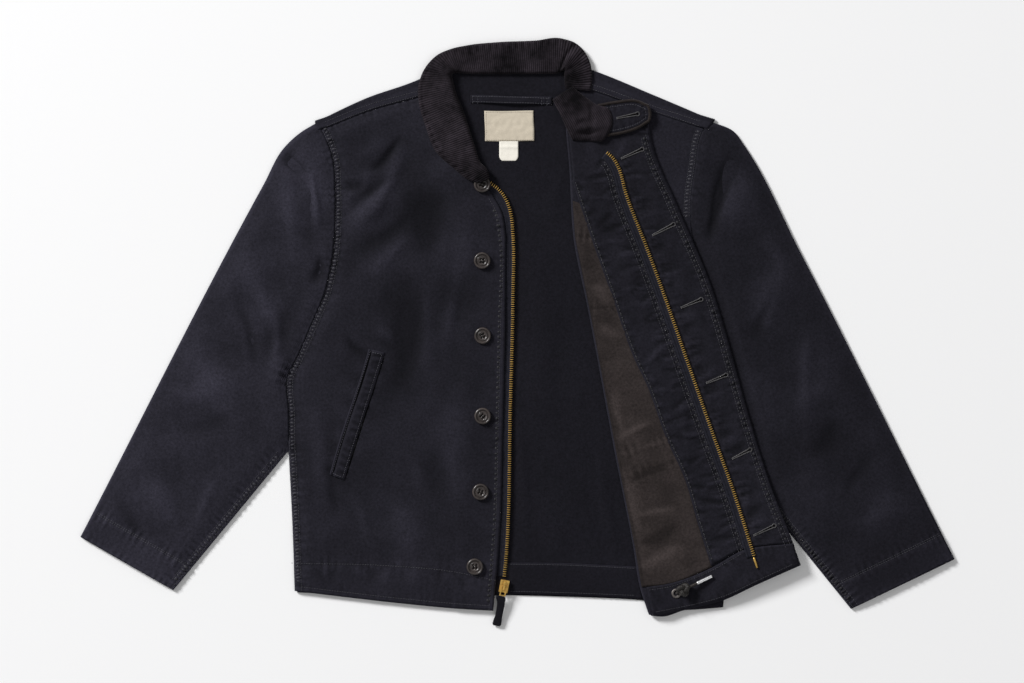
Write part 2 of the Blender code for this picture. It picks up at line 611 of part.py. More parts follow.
def make_trims():
    """Pieces sewn on the inside of the back, the hem facing and the pocket's welt."""
    low = BACK_TOP + SEAM
    line = np.stack([np.linspace(-57.5, 42, 13), 284.5 - 2.5 * even(13)], axis=1)
    bow = low + 1.2 * np.sin(even(13) * math.pi) ** 0.8
    strip("hang_loop", line, 9.5, bow, 1.2, NAVY)
    label = patch(smooth_line(((-40, 270), (-40, 233)), even(4)), smooth_line(((20, 270), (20, 233)), even(4)),
                  smooth_line(((-40, 270), (20, 270)), even(6)), smooth_line(((-40, 233), (20, 233)), even(6)))
    wall("neck_label", raised(label, low), raised(label, low + 1.0), CREAM)
    widths = (23.2, 23.2, 23.2, 23.2, 22.4, 19.6)
    depths = (0, 6, 12, 18, 21.5, 23.6)
    tab = np.array([[(-10.6 + s * w / 2, 232.5 - d) for s in (-1, -0.5, 0, 0.5, 1)]
                    for w, d in zip(widths, depths)])
    wall("size_tab", raised(tab, low), raised(tab, low + 1.0), WHITE_TAB)
    shares = even(22)
    left, right = (-264, -281), (143, -286.5)
    top = smooth_line((left, (-140, -279.5), (52, -282), right), shares)
    bottom = smooth_line(((-262, -315), (-140, -321), (-9, -318.5), (52, -320), (150, -324.5)), shares)
    plan = np.stack([top, (top + bottom) / 2, bottom])
    wall("hem_facing_back", raised(plan, low), raised(plan, low + HEM_WALL), NAVY_INSIDE)
    corners = np.array([(-181.4, -20.5), (-162, -25.2), (-211.6, -180.8), (-229.6, -173.6)], float)
    rows = 9
    first = corners[0] + (corners[3] - corners[0]) * even(rows)[:, None]
    last = corners[1] + (corners[2] - corners[1]) * even(rows)[:, None]
    plan = first[:, None] + (last - first)[:, None] * np.array([0, 0.12, 0.55, 1.0])[None, :, None]
    low = front_right_low(plan) + CLOTH + SEAM + 0.1
    thick = np.array([1.9, 2.2, 1.5, 1.1])[None]
    wall("welt_right", raised(plan, low), raised(plan, low + thick), NAVY)


def make_zip():
    """Zip tapes and teeth on both fronts, the slider at the foot and the pin on the other side."""
    low = BACK_TOP + SEAM + HEM_WALL + SEAM
    path = smooth_line(ZIP_RIGHT, even(28) ** 1.5)
    strip("zip_teeth_right", path, TOOTH_WIDTH, low, TOOTH_HEIGHT, BRASS)
    strip("zip_tape_right", shifted(path, TOOTH_WIDTH / 2 + SEAM + TAPE_WIDTH / 2), TAPE_WIDTH, low, TAPE_WALL, TAPE_BLUE)
    path = smooth_line(ZIP_LEFT, even(26) ** 1.3)
    on_facing = flap_top(path) + 2 * SEAM + 0.15 + FACING_WALL
    strip("zip_teeth_left", path, TOOTH_WIDTH, on_facing, TOOTH_HEIGHT, BRASS)
    strip("zip_tape_left", shifted(path, TOOTH_WIDTH / 2 + SEAM + TAPE_WIDTH / 2), TAPE_WIDTH, on_facing, TAPE_WALL, TAPE_BLUE)
    pin = smooth_line(PIN_LEFT, even(3))
    strip("zip_pin_left", pin, 2.4, flap_top(pin) + 2 * SEAM + 0.15 + FACING_WALL, 2.0, BRASS)


def box_mesh(work, low, high):
    """A box between two corners added to a bmesh, in millimetres."""
    made = bmesh.ops.create_cube(work, size=1.0)
    low, high = np.array(low, float), np.array(high, float)
    for vert in made["verts"]:
        vert.co = [float(c) for c in (low + high) / 2 + np.array(vert.co) * (high - low)]


def joined_solid(name, boxes, frame, look):
    """Boxes united into one solid, given in a local frame: origin, forward and side directions."""
    origin, forward, side = frame
    up = np.cross(forward, side)
    parts = []
    for k, (low, high) in enumerate(boxes):
        work = bmesh.new()
        box_mesh(work, low, high)
        for vert in work.verts:
            f, s, z = vert.co
            point = (np.array(origin) + np.array(forward) * f + np.array(side) * s + up * z) * METRES
            vert.co = [float(c) for c in point]
        bmesh.ops.recalc_face_normals(work, faces=work.faces)
        mesh = bpy.data.meshes.new(f"{name}_{k}")
        work.to_mesh(mesh)
        work.free()
        obj = bpy.data.objects.new(f"{name}_{k}", mesh)
        bpy.context.scene.collection.objects.link(obj)
        parts.append(obj)
    base = parts[0]
    for other in parts[1:]:
        join = base.modifiers.new("join", "BOOLEAN")
        join.operation = "UNION"
        join.object = other
    bpy.context.view_layer.update()
    graph = bpy.context.evaluated_depsgraph_get()
    mesh = bpy.data.meshes.new_from_object(base.evaluated_get(graph))
    for obj in parts:
        bpy.data.objects.remove(obj, do_unlink=True)
    mesh.name = name
    obj = bpy.data.objects.new(name, mesh)
    mesh.materials.clear()
    mesh.materials.append(finish_of(name, look))
    bpy.context.scene.collection.objects.link(obj)
    return obj


def make_slider_and_pull():
    """Slider at the zip's foot with an arch over it; the pull's bar lies under the arch and turns there."""
    run = np.array([PULL_END[0] - PIVOT[0], PULL_END[1] - PIVOT[1]], float)
    length = np.hypot(*run)
    forward_flat = np.array([run[0] / length, run[1] / length, 0.0])
    side = np.array([-forward_flat[1], forward_flat[0], 0.0])
    slider_frame = (np.array([PIVOT[0], PIVOT[1], 0.0]), forward_flat, side)
    base = 3.0
    body = [
        ((-7.0, -5.4, base), (8.0, 5.4, base + 1.1)),
        ((-7.0, -5.4, base + 2.7), (8.0, 5.4, base + 3.8)),
        ((-6.8, -1.2, base + 0.5), (-2.0, 1.2, base + 3.2)),
        ((-1.0, 4.1, base + 0.5), (7.8, 5.2, base + 3.2)),
        ((-1.0, -5.2, base + 0.5), (7.8, -4.1, base + 3.2)),
        ((-5.4, -0.9, base + 3.4), (-3.0, 0.9, base + 7.6)),
        ((2.6, -0.9, base + 3.4), (5.0, 0.9, base + 7.6)),
        ((-5.6, -1.1, base + 6.6), (5.2, 1.1, base + 7.8)),
    ]
    joined_solid("zip_slider", body, slider_frame, BRASS)
    drop = PULL_DROP
    forward = forward_flat * math.cos(drop) + np.array([0, 0, -math.sin(drop)])
    pull_frame = (np.array(PIVOT, float), forward, side)
    half = 0.65
    link = [
        ((-half, -3.6, -half), (half, 3.6, half)),
        ((-half - 0.1, -3.8, -half - 0.1), (12.5, -2.2, half + 0.1)),
        ((-half - 0.1, 2.2, -half - 0.1), (12.5, 3.8, half + 0.1)),
        ((11.2, -3.6, -half), (12.3, 3.6, half)),
    ]
    joined_solid("pull_link", link, pull_frame, BRASS)
    rows = ((12.9, 3.8), (14.0, 4.4), (20.0, 4.6), (34.0, 4.9), (46.0, 5.4), (49.0, 5.2), (50.2, 4.4))
    up = np.cross(forward, side)
    across = np.array([-1, -0.5, 0, 0.5, 1])
    grid = np.array([[np.array(PIVOT) + forward * f + side * w * s for s in across] for f, w in rows])
    wall("pull_tab", grid - up * 1.1, grid + up * 1.1, CORD_BROWN)


def make_buttons():
    """Four-hole buttons with a raised rim, on the right front beside its edge."""
    profile = ((7.6, 0.0), (9.5, 0.5), (BUTTON_RADIUS, 1.6), (9.7, 2.8), (8.4, BUTTON_HEIGHT),
               (6.9, 2.7), (5.6, 1.9), (3.0, 1.6))
    body = loft("button_1", turned((0, 0, 0), profile, 16), HORN)
    cut = bmesh.new()
    for k in range(4):
        angle = math.radians(45 + 90 * k)
        made = bmesh.ops.create_cone(cut, cap_ends=True, segments=6, radius1=1.0 * METRES,
                                     radius2=1.0 * METRES, depth=8 * METRES)
        for vert in made["verts"]:
            vert.co.x += 2.5 * METRES * math.cos(angle)
            vert.co.y += 2.5 * METRES * math.sin(angle)
    mesh = bpy.data.meshes.new("button_holes")
    cut.to_mesh(mesh)
    cut.free()
    cutter = bpy.data.objects.new("button_holes", mesh)
    bpy.context.scene.collection.objects.link(cutter)
    drill = body.modifiers.new("holes", "BOOLEAN")
    drill.operation = "DIFFERENCE"
    drill.object = cutter
    bpy.context.view_layer.update()
    graph = bpy.context.evaluated_depsgraph_get()
    drilled = bpy.data.meshes.new_from_object(body.evaluated_get(graph))
    drilled.name = "button"
    bpy.data.objects.remove(cutter, do_unlink=True)
    bpy.data.objects.remove(body, do_unlink=True)
    for number, (x, y) in enumerate(BUTTONS, start=1):
        button = bpy.data.objects.new(f"button_{number}", drilled)
        spot = np.array([[[x, y]]], float)
        rest = FRONT_LOW + EDGE_LIFT + CLOTH + 0.5 * (y < -286) + SEAM
        rest = max(rest, float(front_right_low(spot)[0, 0]) + CLOTH + 0.5 * (y < -270) + SEAM)
        button.location = (x * METRES, y * METRES, rest * METRES)
        bpy.context.scene.collection.objects.link(button)


def make_drawcord():
    """Hem eyelet, the knot over it, the short free cord and its tip."""
    spot = np.array([[[193.5, -318.5]]])
    level = float(flap_top(spot)[0, 0]) + SEAM + 0.1 + FACING_WALL + SEAM
    ring = ((2.8, 0.0), (5.6, 0.0), (5.8, 0.5), (5.0, 1.2), (3.4, 1.2), (2.8, 0.7))
    rings = turned((193.5, -318.5, level), ring, 20)
    loft("hem_eyelet", rings, DARK_METAL, ring_of_rings=True)
    centre = np.array([202.0, -313.5, level + 1.5 + 5.2])
    steps = np.radians(np.linspace(-78, 78, 9))
    turn = np.linspace(0, 2 * math.pi, 14, endpoint=False)
    rings = []
    lean = math.radians(25)
    for step in steps:
        along = 11.0 * math.sin(step)
        radius = math.cos(step)
        y = 9.5 * radius * np.cos(turn)
        z = 6.0 * radius * np.sin(turn)
        rings.append(np.stack([centre[0] + along * math.cos(lean) - y * math.sin(lean),
                               centre[1] + along * math.sin(lean) + y * math.cos(lean),
                               centre[2] + z], axis=1))
    loft("drawcord_knot", np.array(rings), CORD_BROWN)
    start, end = cord_ends(centre, lean)
    curve = bpy.data.curves.new("drawcord", "CURVE")
    curve.dimensions = "3D"
    curve.bevel_depth = 1.5 * METRES
    curve.bevel_resolution = 2
    curve.use_fill_caps = True
    spline = curve.splines.new("POLY")
    spline.points.add(3)
    for point, t in zip(spline.points, even(4)):
        spot = start + (end - start) * t
        point.co = (*[float(c) * METRES for c in spot], 1.0)
    cord = bpy.data.objects.new("drawcord", curve)
    curve.materials.append(finish_of("drawcord", CORD_BROWN))
    bpy.context.scene.collection.objects.link(cord)
    direction = (end - start) / np.linalg.norm(end - start)
    tip_start = end + direction * 0.35
    side = np.cross(direction, (0, 0, 1.0))
    side /= np.linalg.norm(side)
    up = np.cross(side, direction)
    rings = []
    for share, radius in ((0, 1.9), (0.04, 2.1), (0.5, 2.1), (0.93, 2.1), (1.0, 1.5)):
        middle = tip_start + direction * 20.5 * share
        rings.append([middle + radius * (side * math.cos(a) + up * math.sin(a))
                      for a in np.linspace(0, 2 * math.pi, 12, endpoint=False)])
    loft("drawcord_tip", np.array(rings), TIP_METAL)


def cord_ends(centre, lean):
    """The free stretch of cord between the knot and its tip."""
    forward = np.array([math.cos(lean), math.sin(lean), -0.10])
    start = centre + forward * 11.4
    return start, start + forward * 4.5


def main():
    clear_scene()
    make_back()
    make_front_right()
    make_front_left()
    make_flap_layers()
    make_sleeve("sleeve_right", ARMHOLE_RIGHT, SLEEVE_RIGHT_OUTER, SLEEVE_RIGHT_LOWER, FOLDS_SLEEVE_RIGHT, -1)
    make_sleeve("sleeve_left", ARMHOLE_LEFT, SLEEVE_LEFT_OUTER, SLEEVE_LEFT_LOWER, FOLDS_SLEEVE_LEFT, 1)
    make_collar()
    make_trims()
    make_zip()
    make_slider_and_pull()
    make_buttons()
    make_drawcord()


def outside_flap(plan):
    """One where a sleeve is in the open, falling to nothing where the folded front lies on it."""
    edge = np.interp(plan[..., 1], [p[1] for p in EDGE_LEFT[::-1]], [p[0] for p in EDGE_LEFT[::-1]])
    return np.where(plan[..., 0] < 0, 1.0, smoothstep((plan[..., 0] - edge - 4) / 16))


main()
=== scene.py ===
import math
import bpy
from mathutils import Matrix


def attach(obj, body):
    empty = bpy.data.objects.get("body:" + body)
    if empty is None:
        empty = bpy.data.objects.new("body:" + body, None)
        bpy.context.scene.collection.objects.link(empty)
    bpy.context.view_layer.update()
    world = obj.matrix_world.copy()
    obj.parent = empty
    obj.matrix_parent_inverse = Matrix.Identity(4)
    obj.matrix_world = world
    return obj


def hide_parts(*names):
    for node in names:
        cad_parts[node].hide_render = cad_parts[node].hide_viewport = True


bl_info = {
    "name": "Utility jacket laid flat",
    "version": (1, 0, 0),
    "blender": (4, 5, 0),
    "location": "3D View > Sidebar > Jacket",
    "description": "Dresses the packed jacket: cloth, corduroy, stitching, zip, buttons and drawcord",
    "category": "Object",
}

import bpy
import numpy as np
from bpy.props import FloatProperty, FloatVectorProperty, PointerProperty
from mathutils.bvhtree import BVHTree

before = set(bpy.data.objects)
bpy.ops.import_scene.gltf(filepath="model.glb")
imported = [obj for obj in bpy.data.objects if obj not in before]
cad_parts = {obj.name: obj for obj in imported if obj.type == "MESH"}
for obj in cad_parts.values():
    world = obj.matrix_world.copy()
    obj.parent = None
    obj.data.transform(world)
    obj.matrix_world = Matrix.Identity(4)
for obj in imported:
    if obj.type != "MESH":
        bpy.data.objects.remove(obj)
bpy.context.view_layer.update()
BODY = "jacket"
PULL_BODY = "zip_pull"

# Plan tables are in millimetres: x to the picture's right, y towards the collar, z up from the floor.
MM = 0.001
CLOTH = 1.4
BACK_TOP = 1.4
FRONT_LOW = 1.8
EDGE_LIFT = 2.3
HEM_LIFT = 1.3
FLAP_LOW = 3.6
FOLD_SWELL = 1.8
FACING_WALL = 1.2
CORNER_LIFT = 6.0
LOFT = 2.4
SLEEVE_TOP = 3.6
FLAP_GRAIN = math.radians(10)
PHOTO_SCALE = 1.22
PHOTO_WIDTH = 1024

ARMHOLE_RIGHT = ((-243, 255), (-226, 210), (-223.5, 170), (-224, 120), (-228, 84),
                 (-237, 46), (-252, 10), (-271, -33), (-280, -50), (-280, -100), (-279.5, -146))
SIDE_RIGHT = ((-279.5, -146), (-274, -254), (-272, -316))
SHOULDER_RIGHT = ((-246, 255), (-184, 284), (-122, 306), (-93, 320))
FORWARD_RIGHT = ((-239, 246.5), (-178, 270.5), (-122, 286), (-82, 297.5))
NECK_RIGHT = ((-82, 297.5), (-73, 274), (-63, 239), (-53, 210), (-43.5, 190), (-38.5, 178),
              (-29.5, 165), (-19.5, 146), (-14.6, 118))
EDGE_RIGHT = ((-14.6, 118), (-15.2, 2.5), (-17.7, -107), (-21.4, -239), (-29.5, -340))
HEM_RIGHT = ((-272, -316), (-205, -324), (-143, -331), (-80, -337), (-29.5, -340))
ARMHOLE_LEFT = ((237, 258.5), (228, 247.5), (217, 199), (211.5, 155), (211.5, 133), (219, 84),
                (229, 46), (240, 10), (256, -33), (263, -50), (263, -105), (263, -161))
SIDE_LEFT = ((263, -161), (257, -254), (251, -336))
SHOULDER_LEFT = ((236, 258), (164, 288.5), (94, 317), (79, 322))
FORWARD_LEFT = ((228, 247.5), (159, 270), (89, 294.5), (72, 299))
NECK_LEFT = ((72, 299), (64, 277), (60, 259))
FOLD_LEFT = ((60, 259), (61.5, 240), (66.5, 185), (71, 116), (88.5, 29), (96, -10),
             (122, -150), (144, -262), (152.5, -313), (163, -345))
EDGE_LEFT = ((160, 253), (163, 235), (195, 155), (236.5, 57), (257, -10), (283, -103),
             (315.5, -203.5), (335, -252.5), (345, -280))
HEM_LEFT = ((163, -346), (178, -347), (201, -340), (252, -326.5), (290, -308.5), (345, -284))
HEM_UNDER = ((163, -340), (212, -339), (251, -336))
BACK_HEM = ((-269, -318), (-140, -324), (-9, -321.5), (52, -323), (159, -328), (212, -334), (249, -335))
BACK_NECK = ((-93, 320), (-80, 318.4), (-60, 317.8), (-4, 317.8), (49, 318.4), (62, 319.5), (79, 322))
SLEEVE_RIGHT_OUTER = ((-246, 255), (-265, 243.5), (-285, 225), (-310, 180), (-533.5, -250))
SLEEVE_RIGHT_LOWER = ((-280.5, -146), (-420, -315))
SLEEVE_LEFT_OUTER = ((236, 257), (265, 244), (276, 229), (345, 98), (533.5, -277))
SLEEVE_LEFT_LOWER = ((264, -161), (407, -338))
FACING_INNER = ((66.5, 185), (91, 111.5), (114.5, 46), (143, -34), (157, -63), (182, -131),
                (203.5, -178), (220, -234), (236, -285))
ZIP_LEFT = ((108, 219), (116, 212), (121.5, 203), (132, 168), (158, 100.5), (178, 46), (206, -34),
            (238.5, -126.5), (262, -192), (287.5, -273))
ZIP_RIGHT = ((-34, 182), (-26.5, 176.5), (-17.5, 167), (-11.5, 155), (-7.5, 139), (-5.8, 119.5), (-5.8, 39),
             (-9, -94), (-15, -284), (-16.5, -299))
BUTTONS = ((-43, 180), (-43, 87), (-42.5, -4.5), (-42.5, -102.5), (-45, -195), (-52, -286))
WELT_CORNERS = ((-181.4, -20.5), (-162, -25.2), (-211.6, -180.8), (-229.6, -173.6))

# Main creases: start x, y, end x, y, half width, height; a negative height is a trough
CREASES_FRONT = (
    (-214, 112, -132, 182, 11, 1.5), (-205, 88, -118, 150, 9, -1.0), (-196, 64, -120, 118, 12, 1.0),
    (-222, 150, -160, 205, 12, 0.9), (-120, 70, -104, -70, 16, 1.1), (-92, 150, -78, 30, 13, 0.8),
    (-84, 112, -70, -6, 17, -1.2), (-255, -60, -232, -230, 11, 0.9), (-238, -70, -214, -250, 10, -0.7),
    (-209, 112, -124, 232, 17, 2.0), (-134, 240, -186, 190, 8, -2.0), (-184, 192, -214, 166, 9, -2.0),
    (-139, 200, -209, 145, 5, -1.1), (-88, 186, -128, 84, 21, -1.7), (-128, 84, -146, -88, 27, -2.3),
    (-70, 150, -84, -60, 15, 0.8), (-215, -2, -176, -34, 9, -1.2), (-118, -150, -108, -236, 16, 0.7),
    (-150, -190, -124, -300, 14, 0.9), (-110, -120, -96, -260, 12, -0.6), (-80, -60, -72, -230, 13, 0.8),
    (-170, 10, -150, -20, 10, 0.7), (-210, -190, -170, -270, 12, 0.7), (-200, 200, -150, 255, 14, 0.6),
)
CREASES_SLEEVE_RIGHT = (
    (-290, 196, -262, 80, 12, 1.5), (-276, 190, -246, 90, 8, -0.9), (-330, 118, -296, -10, 16, 1.3),
    (-345, 60, -316, -60, 12, -0.8), (-300, 40, -288, -90, 13, 1.0), (-430, -80, -330, -60, 15, 1.1),
    (-420, -120, -330, -110, 10, -0.7), (-470, -170, -410, -240, 13, 1.1), (-500, -190, -440, -270, 9, -0.7),
    (-282, 228, -264, 188, 13, -3.0), (-249, 212, -246, 112, 9, 1.6), (-243, 96, -243, 52, 8, -1.6),
    (-262, 70, -300, -60, 14, -1.1), (-395, 0, -340, -130, 15, 0.9), (-280, 150, -250, 110, 8, 0.8),
    (-370, -160, -390, -250, 13, 0.8),
)
CREASES_SLEEVE_LEFT = (
    (290, 216, 252, 112, 15, 1.3), (330, 96, 300, -10, 16, 1.3),
    (272, 226, 224, 103, 11, -2.8), (300, 130, 330, 40, 16, 0.9), (312, 60, 288, -20, 10, -0.8),
    (390, -60, 330, -110, 16, 1.2), (402, -100, 350, -160, 11, -0.8),
    (470, -190, 415, -250, 13, 1.1), (440, -130, 398, -210, 10, -0.6), (360, 20, 350, -120, 14, 0.8),
)
CREASES_BACK = (
    (20, 130, 36, -150, 16, 0.7), (50, 60, 70, -180, 11, -0.4), (100, -120, 118, -300, 12, 0.8),
    (0, -60, 10, -300, 10, 0.6), (-40, 215, 30, 190, 12, 0.5), (60, 210, 40, 120, 10, 0.5),
    (84, -60, 98, -230, 8, -0.4), (30, -200, 60, -300, 10, 0.5),
)
CREASES_FLAP = (
    (118, 120, 150, 20, 9, 0.8), (150, 90, 190, -20, 8, -0.5), (200, 70, 240, -30, 9, 0.7),
    (250, -60, 290, -180, 9, 0.7), (190, -60, 220, -170, 8, 0.6), (268, -120, 300, -220, 7, -0.5),
    (80, 200, 100, 130, 8, 0.5), (150, 200, 180, 130, 9, 0.5),
)
CREASES_LINING = (
    (88, 60, 122, 30, 6, 0.9), (96, 10, 132, -10, 5, 0.7), (118, -130, 170, -110, 5, 1.1),
    (126, -186, 190, -163, 4, -0.8), (138, -230, 198, -212, 6, 1.0), (142, -262, 200, -236, 5, -0.7),
    (146, -284, 214, -268, 7, 1.1), (130, -160, 152, -250, 7, 0.8), (112, -60, 138, -140, 6, 0.6),
)


def tint(name, description, default):
    return FloatVectorProperty(name=name, description=description, subtype="COLOR", default=default, min=0,
                               max=1)


def pitch(name, description, default, least=0.001):
    return FloatProperty(name=name, description=description, default=default, min=least, unit="LENGTH")


class JacketColours(bpy.types.PropertyGroup):
    """Base colours of the cloths, trims and metal."""

    navy: tint("Navy cloth", "Brushed outer cloth", (0.0137, 0.0129, 0.0187))
    navy_inside: tint("Inside cloth", "Plain reverse of the outer cloth", (0.0085, 0.0080, 0.0118))
    corduroy: tint("Corduroy", "Collar pile", (0.0088, 0.0075, 0.0094))
    lining: tint("Inner bag", "Brown cotton inside the front", (0.0285, 0.0225, 0.0218))
    thread: tint("Thread", "Navy sewing thread", (0.023, 0.0222, 0.032))
    buttonhole: tint("Buttonhole thread", "Grey buttonhole stitching", (0.058, 0.055, 0.058))
    label: tint("Neck label", "Cream woven label", (0.62, 0.55, 0.44))
    size_tab: tint("Size tab", "White tape tab", (0.90, 0.86, 0.77))
    tape: tint("Zip tape", "Woven tape", (0.013, 0.013, 0.019))
    brass: tint("Brass", "Zip teeth and slider", (0.92, 0.60, 0.17))
    horn: tint("Buttons", "Dark horn buttons", (0.036, 0.029, 0.027))
    cord: tint("Drawcord", "Brown braided cord", (0.020, 0.014, 0.011))


class JacketSizes(bpy.types.PropertyGroup):
    """Sizes of the fine work, in metres."""

    cell: pitch("Cloth cell", "Grid pitch of the cloth", 0.003)
    stitch: pitch("Stitch", "Length of one stitch with its gap", 0.0031)
    thread: pitch("Thread", "Width of the sewing thread", 0.00055, 0.0001)
    wale: pitch("Wale", "Pitch of the corduroy's wales", 0.0025)
    tooth: pitch("Tooth", "Pitch of the zip's teeth", 0.0027)
    camera_height: pitch("Camera height", "Straight above the jacket", 3.2, 1)
    crease: FloatProperty(name="Crease", description="Strength of the hand-placed creases", default=1.7,
                          min=0)
    pucker: FloatProperty(name="Pucker", description="Strength of the puckers at sewn lines", default=1.7,
                          min=0)


def colours():
    return bpy.context.scene.jacket_colours


def sizes():
    return bpy.context.scene.jacket_sizes


# Lines and grids

def smoothstep(value):
    t = np.clip(value, 0.0, 1.0)
    return t * t * (3 - 2 * t)


def hump(share):
    """A sine hump that is nothing at 0 and 1."""
    return np.sin(np.clip(share, 0, 1) * math.pi)


def even(count):
    return np.linspace(0, 1, count)


def bell(distance, width):
    return np.exp(-((distance / width) ** 2))


def circle(sides):
    return np.linspace(0, 2 * math.pi, sides, endpoint=False)


def unit(vectors):
    """Vectors of length one along the last axis."""
    return vectors / np.linalg.norm(vectors, axis=-1, keepdims=True)


def distances(line):
    """How far along the line each of its points is."""
    return np.concatenate([[0], np.cumsum(np.linalg.norm(np.diff(line, axis=0), axis=1))])


def resampled(line, stations):
    """Points of a finely drawn line at shares of its length."""
    along = distances(line)
    want = np.asarray(stations, float) * along[-1]
    return np.stack([np.interp(want, along, line[:, i]) for i in range(line.shape[1])], axis=1)


def between(first, last, shares):
    """Points at shares of the way from one point, or from each point of one line, to another."""
    if np.ndim(first) > 1:
        shares = shares[None]
        first, last = first[:, None], last[:, None]
    return first + (last - first) * shares[..., None]


def smooth_line(table, stations):
    """Points at shares of the length of a smooth curve through the table: cubic pieces whose slope at each
    point is that of its neighbours, measured again by length."""
    points = np.asarray(table, float)
    length = distances(points)
    if len(points) == 2:
        slope = np.repeat((points[1:] - points[:1]) / length[1], 2, axis=0)
    else:
        slope = np.gradient(points, length, axis=0)
    t = np.linspace(0, 1, 25)[None, :-1, None]
    run = np.diff(length)[:, None, None]
    a, b = points[:-1, None], points[1:, None]
    dense = ((2 * t**3 - 3 * t**2 + 1) * a + (t**3 - 2 * t**2 + t) * run * slope[:-1, None]
             + (3 * t**2 - 2 * t**3) * b + (t**3 - t**2) * run * slope[1:, None])
    dense = np.concatenate([dense.reshape(-1, points.shape[1]), points[-1:]])
    return resampled(dense, stations)


def line_length(line):
    return float(np.linalg.norm(np.diff(line, axis=0), axis=1).sum())


def by_pitch(table, pitch):
    """The table's smooth line with a point every pitch millimetres."""
    count = max(2, round(line_length(smooth_line(table, even(200))) / pitch) + 1)
    return smooth_line(table, even(count))


def shifted(line, distance):
    """A plan line moved sideways by distance, to its right as it runs."""
    run = np.gradient(line, axis=0)
    return line - unit(np.stack([-run[:, 1], run[:, 0]], axis=1)) * distance


def patch(first, last, start, end, rows=None, columns=None):
    """Plan points blended between four edges: first and last run down the rows, start and end across."""
    rows = even(len(first)) if rows is None else rows
    columns = even(len(start)) if columns is None else columns
    v = rows[:, None, None]
    s = columns[None, :, None]
    sides = (1 - s) * first[:, None] + s * last[:, None]
    ends = (1 - v) * start[None] + v * end[None]
    corners = (1 - v) * ((1 - s) * first[0] + s * last[0]) + v * ((1 - s) * first[-1] + s * last[-1])
    return sides + ends - corners


def raised(plan, height):
    """A grid of plan points with a height for each."""
    return np.concatenate([plan, np.broadcast_to(height, plan.shape[:-1])[..., None]], axis=-1)


def creases(plan, table):
    """Soft ridges and troughs: each a rounded hump across its line that fades out towards both ends and
    wanders a little along it."""
    height = np.zeros(plan.shape[:-1])
    for number, (x0, y0, x1, y1, half_width, ridge) in enumerate(table):
        run = np.array([x1 - x0, y1 - y0], float)
        length = np.hypot(*run)
        rel = plan - np.array([x0, y0], float)
        along = (rel @ run) / length**2
        across = (rel[..., 0] * run[1] - rel[..., 1] * run[0]) / length
        across = across + 0.35 * half_width * np.sin(5.1 * along + number * 1.7)
        fade = smoothstep(along * 2.2) * smoothstep((1 - along) * 2.2)
        width = half_width * (0.8 + 0.35 * np.sin(3.0 * along + number))
        height += ridge * bell(across, width) * fade
    return height * sizes().crease


def gathers(line, spacing, reach, height, seed, aside=1.0):
    """Crease table of short uneven puckers that start at a sewn line and run off to one side of it."""
    rng = np.random.default_rng(seed)
    count = int(line_length(line) / spacing)
    shares = (np.arange(count) + rng.uniform(0.1, 0.9, count)) / count
    spots = resampled(line, shares)
    ahead = resampled(line, np.clip(shares + 0.004, 0, 1)) - resampled(line, np.clip(shares - 0.004, 0, 1))
    ahead = unit(ahead)
    side = np.stack([ahead[:, 1], -ahead[:, 0]], axis=1) * aside
    run = side + ahead * rng.uniform(-0.45, 0.45, (count, 1))
    length = reach * rng.uniform(0.45, 1.3, (count, 1))
    start, end = spots - run * 2.5, spots + run * length
    half = spacing * rng.uniform(0.2, 0.34, (count, 1))
    ridge = height * rng.uniform(0.4, 1.0, (count, 1)) * np.where(np.arange(count)[:, None] % 2, -0.8, 1.0)
    return np.concatenate([start, end, half, ridge], axis=1).tolist()


def slack(plan, size, seed):
    """Gentle unevenness of cloth that isn't pressed: a few crossed long waves, in share of one."""
    x, y = plan[..., 0], plan[..., 1]
    total = np.zeros(plan.shape[:-1])
    rng = np.random.default_rng(seed)
    for _ in range(7):
        angle, phase, stretch = rng.uniform(0, math.pi), rng.uniform(0, 6.28), rng.uniform(0.6, 1.7)
        total += np.sin((x * math.cos(angle) + y * math.sin(angle)) / (size * stretch) * 2 * math.pi + phase)
    return total / 7


def nearest(plan, line):
    """Distance of each plan point from a line, and how far along the line its nearest point is."""
    flat = plan.reshape(-1, 2)
    at = distances(line)
    best = np.full(len(flat), 1e9)
    where = np.zeros(len(flat))
    for start in range(0, len(line), 64):
        part = line[start:start + 64]
        gap = np.linalg.norm(flat[:, None] - part[None], axis=2)
        pick = gap.argmin(axis=1)
        value = gap[np.arange(len(flat)), pick]
        better = value < best
        best[better] = value[better]
        where[better] = at[start + pick[better]]
    return best.reshape(plan.shape[:-1]), where.reshape(plan.shape[:-1])


def near_line(plan, line, reach):
    """Which plan points are within a box round a line, their distance from it and place along it."""
    near = np.all((plan > line.min(0) - reach) & (plan < line.max(0) + reach), axis=-1)
    if not near.any():
        return near, 0.0, 0.0
    away, along = nearest(plan[near][None], line)
    return near, away[0], along[0]


def clear_of(plan, line, reach):
    """Nothing on a line, rising to one at reach from it."""
    return smoothstep(nearest(plan, line)[0] / reach)


def felled(plan, line, height, reach, pitch=4.6):
    """Fine cross ridges of a double-stitched seam: a wave along the line, strongest in the middle."""
    result = np.zeros(plan.shape[:-1])
    near, away, along = near_line(plan, line, 3 * reach)
    phase = along / pitch * 2 * math.pi + 1.4 * np.sin(along / 17.0) + 0.8 * np.sin(along / 5.3)
    swell = height * (0.7 + 0.3 * np.sin(along / 21.0))
    result[near] = swell * np.sin(phase) * np.exp(-((away / reach) ** 4))
    return result


